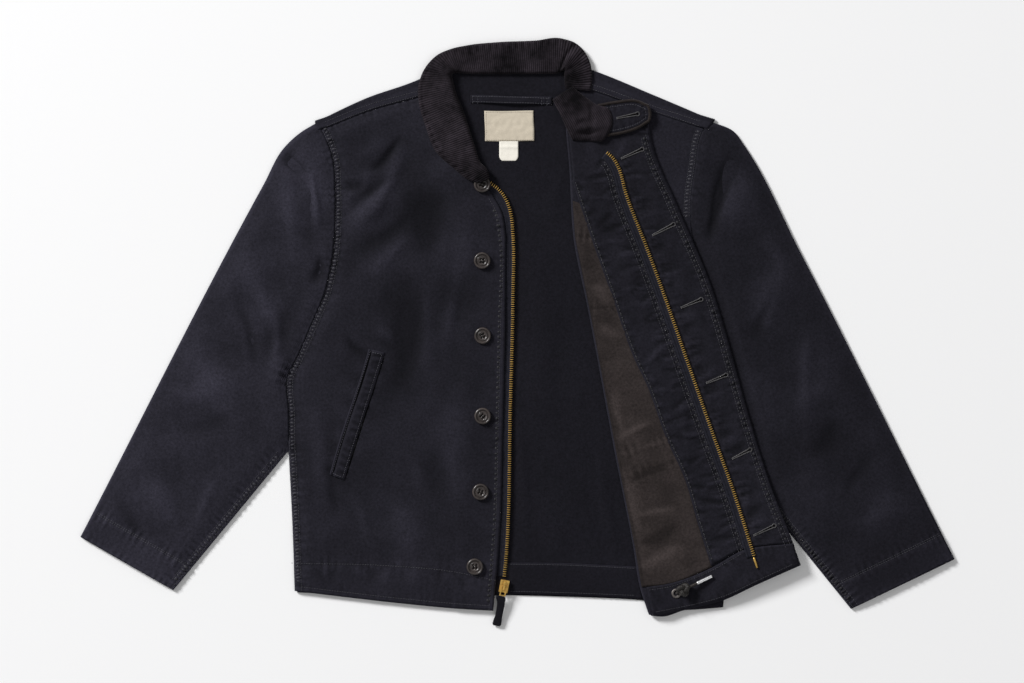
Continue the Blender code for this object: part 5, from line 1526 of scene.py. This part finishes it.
def tooth_rings():
    """One zip tooth: a clamp that narrows to a rounded nub, with a bevelled top."""
    outline = np.array([(-0.32, -1.7), (0.32, -1.7), (0.34, 0.4), (0.24, 1.9), (0.1, 2.4), (-0.1, 2.4),
                        (-0.24, 1.9), (-0.34, 0.4)])
    outline[:, 0] *= 1.45
    levels = ((0.0, 0.82), (0.35, 1.0), (1.55, 1.0), (2.0, 0.72))
    return np.array([np.column_stack([outline * grow, np.full(len(outline), z)]) for z, grow in levels])


def make_zip_side(side_name, line, base, width):
    """Tape with a raised bead, and one tooth for each pitch along the line."""
    pitch = sizes().tooth / MM
    length = line_length(line)
    count = round(length / pitch)
    spots = resampled(line, (np.arange(count) + 0.5) / count)
    heights = np.interp(even(count), even(len(line)), base)
    run = unit(np.gradient(spots, axis=0))
    side = np.stack([-run[:, 1], run[:, 0]], axis=1)
    up = np.tile([0, 0, 1.0], (count, 1))
    teeth = copies(f"zip_teeth_{side_name}_set", tooth_rings(), raised(spots, heights + 0.35),
                   raised(run, 0.0),
                   raised(side, 0.0), up, "brass", smooth=False)
    settle(teeth, "zip_brass", f"zip_teeth_{side_name}")
    across = np.concatenate([[-1.4, -0.2, 0.6, 1.2, 1.8], np.linspace(2.6, width, 14)])
    fine = resampled(line, even(round(length / 2.2)))
    fine_base = np.interp(even(len(fine)), even(len(line)), base)
    plan = np.stack([shifted(fine, d) for d in across], axis=1)
    bead = 0.7 * bell(across - 1.6, 0.9) + 0.25 * np.sin(across * 2.0) * (across > 4)
    dip = -0.25 * (np.abs(across - 10.5) < 0.9)
    name = f"zip_tape_{side_name}"
    tape = layer(f"{name}_cloth", plan, fine_base[:, None] - 0.05,
                 fine_base[:, None] + 0.6 + (bead + dip)[None],
                 "tape", wear=np.broadcast_to(bead > 0.3, plan.shape[:2]) * 0.8)
    lay_sheet(tape, name, "zip_tape", name)


def make_zips():
    low = BACK_TOP + 0.3 + 1.1 + 0.3
    line = smooth_line(ZIP_RIGHT, even(300))
    make_zip_side("right", line, np.full(300, low), 14.0)
    line = smooth_line(ZIP_LEFT, even(300))
    make_zip_side("left", line, flap_top(line) + 0.7 + FACING_WALL, 8.8)
    pin = smooth_line(((287.5, -274.5), (291.5, -287)), even(12))
    path = raised(pin, flap_top(pin) + 0.7 + FACING_WALL + 1.3)
    swell = 1.1 + 0.25 * (even(12) < 0.75)
    obj = loft("zip_pin_left_metal", tube_rings(path, swell, 12), "brass")
    settle(obj, "zip_brass", "zip_pin_left")


def make_pull_tab():
    """The pull's cloth tab: doubled tape with stitched edges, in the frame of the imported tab."""
    drop_angle = 0.118
    pivot = np.array([-16.2, -309.5, 8.6])
    run = np.array([-9.4, -48.1])
    run /= np.hypot(*run)
    side = np.array([-run[1], run[0], 0.0])
    forward = np.array([run[0] * math.cos(drop_angle), run[1] * math.cos(drop_angle), -math.sin(drop_angle)])
    up = np.cross(forward, side)
    t = even(46)
    along = 12.9 + 37.3 * t
    half = np.interp(t, [0, 0.03, 0.1, 0.2, 0.5, 0.7, 0.78, 0.93, 0.97, 1.0],
                     [4.4, 5.9, 5.9, 4.9, 4.4, 4.3, 5.0, 5.3, 4.9, 3.9])
    across = np.linspace(-1, 1, 17)
    place_plan = np.stack([np.broadcast_to(along[:, None], (46, 17)), half[:, None] * across[None]], axis=-1)
    thick = 1.1 + 0.35 * (t[:, None] > 0.74) * (1 - across[None] ** 4)
    groove = -0.28 * bell(np.abs(across) - 0.72, 0.07)[None]
    rib = 0.06 * np.sin(along * 5.2)[:, None]
    sway = 1.5 * smoothstep(1 - t / 0.3) - 0.5 * hump(t)
    points = pivot + forward * place_plan[..., :1] + side * (place_plan[..., 1:] - sway[:, None, None])
    obj = shell("pull_tab_tape", points - up * 1.05, points + up * (thick + groove + rib)[..., None],
                "leather", wear=np.broadcast_to(np.abs(across) > 0.85, (46, 17)) * 0.6)
    settle(obj, "pull_leather", "pull_tab", body=PULL_BODY)


def finish_slider():
    """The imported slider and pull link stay, in brass."""
    for name in ("zip_slider", "pull_link"):
        for slot in bpy.data.objects[name].material_slots:
            slot.material = MATERIALS["brass"]


# Buttons

def make_buttons():
    """Four-hole buttons: a raised rim, a dished middle with four pits, and thread through the holes."""
    sides = 56
    profile = (
        (0.05, 1.7), (1.0, 1.7), (1.6, 1.7), (2.1, 1.7), (2.6, 1.7), (3.1, 1.7), (3.6, 1.72), (4.2, 1.78),
        (4.8, 1.95), (5.3, 2.3), (5.7, 2.35), (6.1, 2.0), (6.5, 1.45), (7.0, 1.45), (7.4, 2.1), (7.9, 3.1),
        (8.5, 3.5), (9.2, 3.3), (9.8, 2.6), (10.2, 1.7), (10.0, 0.9), (9.3, 0.3), (7.6, 0.0), (3.0, 0.0),
        (0.4, 0.0),
    )
    angle = circle(sides)
    places = []
    for number, (x, y) in enumerate(BUTTONS, start=1):
        level = level_at("front_right", x, y)
        holes = 0.4 * number + np.arange(4) * math.pi / 2
        holes = 2.5 * np.stack([np.cos(holes), np.sin(holes)], axis=1)
        places.append((np.array([x, y]), level, holes))
        rings = []
        for radius, height in profile:
            px, py = radius * np.cos(angle), radius * np.sin(angle)
            z = np.full(sides, height)
            if radius < 5.5 and height > 1:
                for hx, hy in holes:
                    z -= 1.6 * smoothstep((1.5 - np.hypot(px - hx, py - hy)) / 0.5)
            z += 0.02 * np.sin(number * 2.3) * px
            rings.append(np.stack([x + px, y + py, level + 0.25 + z], axis=1))
        obj = loft(f"button_{number}_horn", np.array(rings), "horn")
        settle(obj, "button_horn", f"button_{number}")
    origins, forwards, sides_v = [], [], []
    for centre, level, holes in places:
        for a, b in (holes[:2], holes[2:]):
            across = unit(np.array([a[1] - b[1], b[0] - a[0]]))
            for offset in (-0.3, 0.3):
                origins.append((*(centre + (a + b) / 2 + across * offset), level + 2.15))
                forwards.append((*((b - a) * 1.25), 0))
                sides_v.append((*(across * 0.5), 0))
    # The thread is drawn in the near-black shadow material, a painted shade in the holes
    obj = copies("button_thread", capsule_rings(6), np.array(origins), np.array(forwards), np.array(sides_v),
                 np.tile([0, 0, 0.5], (len(origins), 1)), "slit")
    settle(obj, "navy_cloth")


# Drawcord

# The free cord's centre line, from the eyelet over the knot's middle to its tip; z is above the hem facing
CORD_ROUTE = ((193.5, -318.5, 1.6), (197.0, -316.0, 5.6), (202.0, -313.5, 6.7), (212.3, -308.7, 5.6),
              (217.5, -306.3, 5.0), (236.5, -297.4, 3.4))


def make_eyelet():
    x, y, _ = CORD_ROUTE[0]
    level = level_at("hem_band", x, y)
    angle = circle(40)
    profile = ((2.8, -0.4), (4.4, -0.2), (5.7, 0.0), (6.0, 0.5), (5.5, 1.1), (4.5, 1.35), (3.5, 1.2),
               (2.9, 0.6))
    rings = np.array([np.stack([x + r * np.cos(angle), y + r * np.sin(angle), np.full(len(angle), level + z)],
                               axis=1) for r, z in profile])
    obj = loft("hem_eyelet_metal", rings, "dark_metal", closed=True)
    settle(obj, "dark_metal", "hem_eyelet")
    return level


def braid(path, radius, turns):
    """Rings of a braided cord: its radius swells and dips in a slanting pattern."""
    count, sides = len(path), 14
    rings = tube_rings(path, radius, sides)
    centre = path[:, None]
    phase = np.linspace(0, turns * 2 * math.pi, count)[:, None]
    around = circle(sides)[None]
    weave = 1 + 0.07 * np.sin(phase * 2 + around * 4) * np.sin(phase * 2 - around * 4)
    return centre + (rings - centre) * weave[..., None]


def make_drawcord():
    level = make_eyelet()
    route = smooth_line(CORD_ROUTE, even(90))
    route[:, 2] += level
    cut = int(len(route) * 0.60)
    cord = loft("drawcord_braid", braid(route, 1.5, 9), "cord")
    settle(cord, "cord_brown", "drawcord")
    t = circle(260)
    lean = math.radians(25)
    along = (np.sin(t) + 2 * np.sin(2 * t)) * 2.15
    across = (np.cos(t) - 2 * np.cos(2 * t)) * 2.0
    middle = CORD_ROUTE[2]
    path = np.stack([middle[0] + along * math.cos(lean) - across * math.sin(lean),
                     middle[1] + along * math.sin(lean) + across * math.cos(lean),
                     level + 6.2 + 2.1 * np.sin(3 * t)], axis=1)
    sides = 14
    rings = tube_rings(path, 2.9, sides, closed=True)
    weave = 1 + 0.08 * np.sin(circle(len(path))[:, None] * 34 + circle(sides)[None] * 3)
    rings = path[:, None] + (rings - path[:, None]) * weave[..., None]
    # drawn in the darker knot copy of the cord, a painted shade
    knot = loft("drawcord_knot_braid", rings, "knot", closed=True)
    settle(knot, "cord_brown", "drawcord_knot")
    tip_path = np.concatenate([route[cut - 1:], route[-1:] + (route[-1] - route[-2]) * 0.6])
    swell = np.full(len(tip_path), 2.05)
    swell[[0, -1]] = 1.75, 1.6
    tip = loft("drawcord_tip_metal", tube_rings(tip_path, swell, 20), "steel")
    settle(tip, "tip_metal", "drawcord_tip")


# Rows of stitches on the hem facings: piece, points, line
HEM_ROWS = (
    ("hem_band", 90, ((161, -314.5), (188, -310), (203, -305), (237, -290.5), (272, -270.5))),
    ("hem_band", 90, ((169, -341), (201, -335), (252, -321.5), (290, -303.5), (334, -283))),
    ("hem_back", 60, ((-8, -283.6), (52, -284.4), (142, -288.4))),
    ("hem_back", 60, ((-8, -316.5), (52, -318), (142, -321.5))),
)
# Buttonholes: tail x, y and eye x, y
BUTTONHOLES = (
    ("facing", 126.6, 211.5, 153.8, 223.5), ("facing", 164.7, 117.9, 191.9, 132.0),
    ("facing", 199.5, 29.7, 225.7, 40.5), ("facing", 230.5, -62.2, 256.1, -51.7),
    ("facing", 262.0, -154.5, 285.0, -142.7), ("facing", 287.6, -247.7, 314.4, -235.0),
    ("tab", 121.2, 260.5, 148.2, 266.0),
)


def hole_outline(length):
    """Half-width outline of a keyhole: two near sides and a round eye at the far end."""
    eye = 2.0
    straight = length - eye * 1.8
    angle = np.radians(np.linspace(140, -140, 40))
    ring = np.stack([length - eye + eye * np.cos(angle), eye * np.sin(angle)], axis=1)
    upper = np.stack([np.linspace(0.6, straight, 40), np.linspace(0.35, 1.25, 40)], axis=1)
    lower = upper[::-1] * (1, -1)
    return np.concatenate([upper, ring, lower])


def make_buttonholes():
    """Satin stitches across the edge of each keyhole, a bar at its tail and, in the slit between, a sheet of
    painted shadow.
    """
    origins, forwards, sides_v, slits = [], [], [], []
    for key, x0, y0, x1, y1 in BUTTONHOLES:
        start, end = np.array([x0, y0]), np.array([x1, y1])
        length = float(np.hypot(*(end - start)))
        run = unit(end - start)
        across = np.array([-run[1], run[0]])
        outline = hole_outline(length)
        outline = resampled(outline, even(round(line_length(outline) / 0.62)))
        tangent = unit(np.gradient(outline, axis=0))
        normal = np.stack([-tangent[:, 1], tangent[:, 0]], axis=1)
        middle = outline + normal * 0.35
        tail = np.stack([np.full(7, 0.2), np.linspace(-1.1, 1.1, 7)], axis=1)
        middle = np.concatenate([middle, tail])
        normal = np.concatenate([normal, np.tile([1.0, 0.0], (7, 1))])
        plan = start + middle[:, :1] * run + middle[:, 1:] * across
        spots = drop(key, plan)
        spots[:, 2] += 0.28
        lay = normal[:, :1] * run + normal[:, 1:] * across
        turn = np.stack([-lay[:, 1], lay[:, 0]], axis=1)
        origins.append(spots)
        forwards.append(raised(lay * 1.35, 0.0))
        sides_v.append(raised(turn * 0.62, 0.0))
        t = even(14)
        half = np.interp(t, [0, 0.1, 0.8, 0.86, 0.95, 1.0], [0.1, 0.3, 0.9, 1.5, 1.5, 0.4])
        centre = start + run * (0.8 + (length - 1.8) * t)[:, None]
        wide = across * half[:, None]
        slits.append((np.stack([centre + wide, centre - wide], axis=1), drop(key, centre)[:, 2:]))
    origins = np.concatenate(origins)
    obj = copies("buttonhole_stitches", capsule_rings(), origins, np.concatenate(forwards),
                 np.concatenate(sides_v), np.tile([0, 0, 0.75], (len(origins), 1)), "buttonhole")
    settle(obj, "navy_cloth")
    # Painted shadow: a near-black sheet in each buttonhole's slit
    for number, (grid, level) in enumerate(slits, start=1):
        settle(layer(f"buttonhole_slit_{number}", grid, level - 0.1, level + 0.12, "slit"), "navy_inside")


def on(key, line, *rows):
    """Rows of stitches on a piece beside a line: each its distance from it and the points left out at
    the line's start and end."""
    return [(key, shifted(line, away)[start:len(line) - end]) for away, start, end in rows]


def make_stitching():
    """The sewn rows, piece by piece."""
    seam = front_seams()
    name = "front_right"
    sew("front_right_stitches", [*on(name, seam["arm"], (-1.8, 6, 0), (-8.0, 6, 0)),
                                 *on(name, seam["side"], (-2.0, 0, 0), (-8.5, 0, 0)),
                                 *on(name, seam["edge"], (5.6, 0, 0)), *on(name, seam["hem"], (-6.0, 4, 3)),
                                 (name, seam["band"])], "thread")
    ribs("front_right_seam_ribs", [(name, shifted(seam["arm"], -4.9)[5:-2], 4.4, 5.2),
                                   (name, shifted(seam["side"], -5.3)[2:-6], 4.2, 5.6)], "rib")
    ribs("placket_seam_ribs", [(name, shifted(seam["edge"], 7.6)[8:-6], 6.1, 4.2)], "rib_dark")
    arm = by_pitch(ARMHOLE_LEFT, 2)
    arm = arm[(arm[:, 1] > 140) & (arm[:, 1] < 244)]
    ribs("front_left_seam_ribs", [("front_left", shifted(arm, 4.9), 4.4, 5.2)], "rib")
    others = on("front_left", arm, (1.8, 0, 0), (8.0, 0, 0))
    for line in (FORWARD_RIGHT, FORWARD_LEFT[::-1]):
        others += on("back", by_pitch(line, 2)[4:-4], (-2.0, 0, 0), (-7.5, 0, 0))
    zip_line, inner_edge, front_edge = (by_pitch(line, 2) for line in (ZIP_LEFT, FACING_INNER, EDGE_LEFT))
    others += on("facing", inner_edge, (-3.0, 2, 4)) + on("facing", zip_line, (16.0, 3, 0), (10.6, 3, 0))
    others += on("facing", front_edge, (5.5, 6, 8), (11.5, 8, 10))
    for key, count, table in HEM_ROWS:
        others.append((key, smooth_line(table, even(count))))
    sew("inside_stitches", others, "thread")
    ribs("facing_seam_ribs", [("facing", shifted(inner_edge, -3.4)[6:-4], 5.0, 2.6),
                              ("facing", shifted(front_edge, 8.4)[8:-10], 6.4, 3.6),
                              ("facing", shifted(zip_line, 12.4)[6:-6], 6.8, 2.8)], "rib_dark")
    small = [("tab", tab_outline(6.0, 121)[4:-4]), ("welt", resampled(welt_edge(), even(300)))]
    for offset in (-3.3, 3.3):
        small.append(("loop", np.stack([np.linspace(-54, 39, 40), 284.4 + offset - 2.35 * even(40)], axis=1)))
    for x in (-54.6, -48.4, 29.6, 36.2):
        small.append(("loop",
                      np.stack([np.full(8, x), np.linspace(279.5, 288, 8) - 0.025 * (x + 57)], axis=1)))
    sew("small_stitches", small, "thread_pale", width=0.6)
    border = np.array([(-38.6, 268.6), (18.6, 268.6), (18.6, 234.4), (-38.6, 234.4), (-38.6, 268.6)])
    sew("label_stitches", [("neck_label", resampled(border, even(200)))], "label_thread", 2.2, 0.5,
        "label_cloth")
    for name, sewn in SLEEVE_SEWN.items():
        sew(f"{name}_stitches", [(name, line) for line in sewn], "thread")
        middle = (resampled(sewn[-2], even(260)) + resampled(sewn[-1], even(260)))[10:-16] / 2
        # the right sleeve's ribs take the painted highlight copy, the left sleeve's the painted shade copy
        ribs(f"{name}_seam_ribs", [(name, middle, 4.6, 5.6)], "rib" if name == "sleeve_right" else "rib_dark")


def welt_edge():
    """Row of stitches round the welt, just inside its edge."""
    corners = np.array(WELT_CORNERS, float)
    middle = corners.mean(0)
    moved = corners
    for other, inset in ((1, 2.6), (3, 3.0)):
        run = unit(corners[other] - corners[0])
        moved = moved - np.sign((corners - middle) @ run)[:, None] * run * inset
    return np.concatenate([moved, moved[:1]])


# Operators

class JACKET_OT_stage(bpy.types.Operator):
    """Pale floor, soft light from the upper left and a camera straight above"""

    bl_idname = "jacket.stage"
    bl_label = "Floor, light and camera"

    def execute(self, context):
        scene = context.scene
        camera_data = bpy.data.cameras.new("camera")
        camera = self.link("camera", camera_data)
        height = sizes().camera_height
        photo_width = PHOTO_WIDTH * PHOTO_SCALE * MM
        shift_right, shift_down = 512 - 517.5, 332 - 341.5
        camera.location = (shift_right * PHOTO_SCALE * MM, shift_down * PHOTO_SCALE * MM, height)
        camera_data.sensor_width = 36
        camera_data.lens = 36 * (height - 0.004) / photo_width
        camera_data.clip_end = 20
        scene.camera = camera
        scene.view_settings.view_transform = "Standard"
        scene.view_settings.look = "None"
        floor_mesh = bpy.data.meshes.new("floor")
        floor_mesh.from_pydata([(-4, -4, 0), (4, -4, 0), (4, 4, 0), (-4, 4, 0)], [], [(0, 1, 2, 3)])
        floor = self.link("floor", floor_mesh)
        material, _, shader, _ = nodes_of("floor")
        dial(shader, Base_Color=(0.945, 0.945, 0.95, 1), Roughness=0.9, Specular_IOR_Level=0.1)
        floor_mesh.materials.append(material)
        self.light("key", (-7.5, 6.3, 5.0), 2.6, 1580.0)
        self.light("fill", (2.2, -2.0, 3.2), 2.4, 19.0)
        world = bpy.data.worlds.new("studio")
        scene.world = world
        world.use_nodes = True
        dial(world.node_tree.nodes["Background"], Color=(1, 1, 1, 1), Strength=0.30)
        return {"FINISHED"}

    def link(self, name, data):
        obj = bpy.data.objects.new(name, data)
        bpy.context.scene.collection.objects.link(obj)
        return obj

    def light(self, name, place, size, power):
        """A square soft light that looks at the middle of the jacket."""
        data = bpy.data.lights.new(name, "AREA")
        data.size = size
        data.energy = power
        lamp = self.link(name, data)
        lamp.location = place
        x, y, z = place
        lamp.rotation_euler = (math.acos(z / math.sqrt(x * x + y * y + z * z)), 0, math.atan2(x, -y))


class Step:
    """One step of the build, which calls its makers in order."""

    makers = ()

    def execute(self, context):
        for maker in self.makers:
            maker()
        return {"FINISHED"}


class JACKET_OT_cloth(Step, bpy.types.Operator):
    """The cut panels: back, both fronts, the folded front's layers and the sleeves"""

    bl_idname = "jacket.cloth"
    bl_label = "Cloth panels"
    makers = (make_materials, make_back, make_front_right, make_front_left, make_flap_layers, make_sleeves)


class JACKET_OT_collar(Step, bpy.types.Operator):
    """Corduroy collar, its end on the folded front and the throat tab"""

    bl_idname = "jacket.collar"
    bl_label = "Collar and throat tab"
    makers = (make_collar, make_collar_end, make_tab)


class JACKET_OT_trims(Step, bpy.types.Operator):
    """Hang loop, neck label, size tab and the pocket's welt"""

    bl_idname = "jacket.trims"
    bl_label = "Loop, labels and welt"
    makers = (make_trims, make_welt)


class JACKET_OT_zip(Step, bpy.types.Operator):
    """Zip tapes, single teeth, the pin and the pull's tab"""

    bl_idname = "jacket.zip"
    bl_label = "Zip"
    makers = (make_zips, make_pull_tab, finish_slider)


class JACKET_OT_buttons(Step, bpy.types.Operator):
    """Six horn buttons and their thread"""

    bl_idname = "jacket.buttons"
    bl_label = "Buttons"
    makers = (make_buttons,)


class JACKET_OT_drawcord(Step, bpy.types.Operator):
    """Hem eyelet, knotted drawcord and its metal tip"""

    bl_idname = "jacket.drawcord"
    bl_label = "Drawcord"
    makers = (make_drawcord,)


class JACKET_OT_stitching(Step, bpy.types.Operator):
    """Keyhole buttonholes and every row of stitches"""

    bl_idname = "jacket.stitching"
    bl_label = "Stitching"
    makers = (make_buttonholes, make_stitching)


class JACKET_PT_panel(bpy.types.Panel):
    """The jacket's steps, in the 3D view's sidebar"""

    bl_label = "Utility jacket"
    bl_idname = "JACKET_PT_panel"
    bl_space_type = "VIEW_3D"
    bl_region_type = "UI"
    bl_category = "Jacket"

    def draw(self, context):
        for operator in OPERATORS:
            self.layout.operator(operator.bl_idname)


OPERATORS = (JACKET_OT_stage, JACKET_OT_cloth, JACKET_OT_collar, JACKET_OT_trims, JACKET_OT_zip,
             JACKET_OT_buttons, JACKET_OT_drawcord, JACKET_OT_stitching)
CLASSES = (JacketColours, JacketSizes, *OPERATORS, JACKET_PT_panel)


def register():
    for cls in CLASSES:
        bpy.utils.register_class(cls)
    bpy.types.Scene.jacket_colours = PointerProperty(type=JacketColours)
    bpy.types.Scene.jacket_sizes = PointerProperty(type=JacketSizes)


def unregister():
    del bpy.types.Scene.jacket_colours
    del bpy.types.Scene.jacket_sizes
    for cls in reversed(CLASSES):
        bpy.utils.unregister_class(cls)


def main():
    register()
    bpy.ops.jacket.stage()
    bpy.ops.jacket.cloth()
    bpy.ops.jacket.collar()
    bpy.ops.jacket.trims()
    bpy.ops.jacket.zip()
    bpy.ops.jacket.buttons()
    bpy.ops.jacket.drawcord()
    bpy.ops.jacket.stitching()


if __name__ == "__main__":
    main()
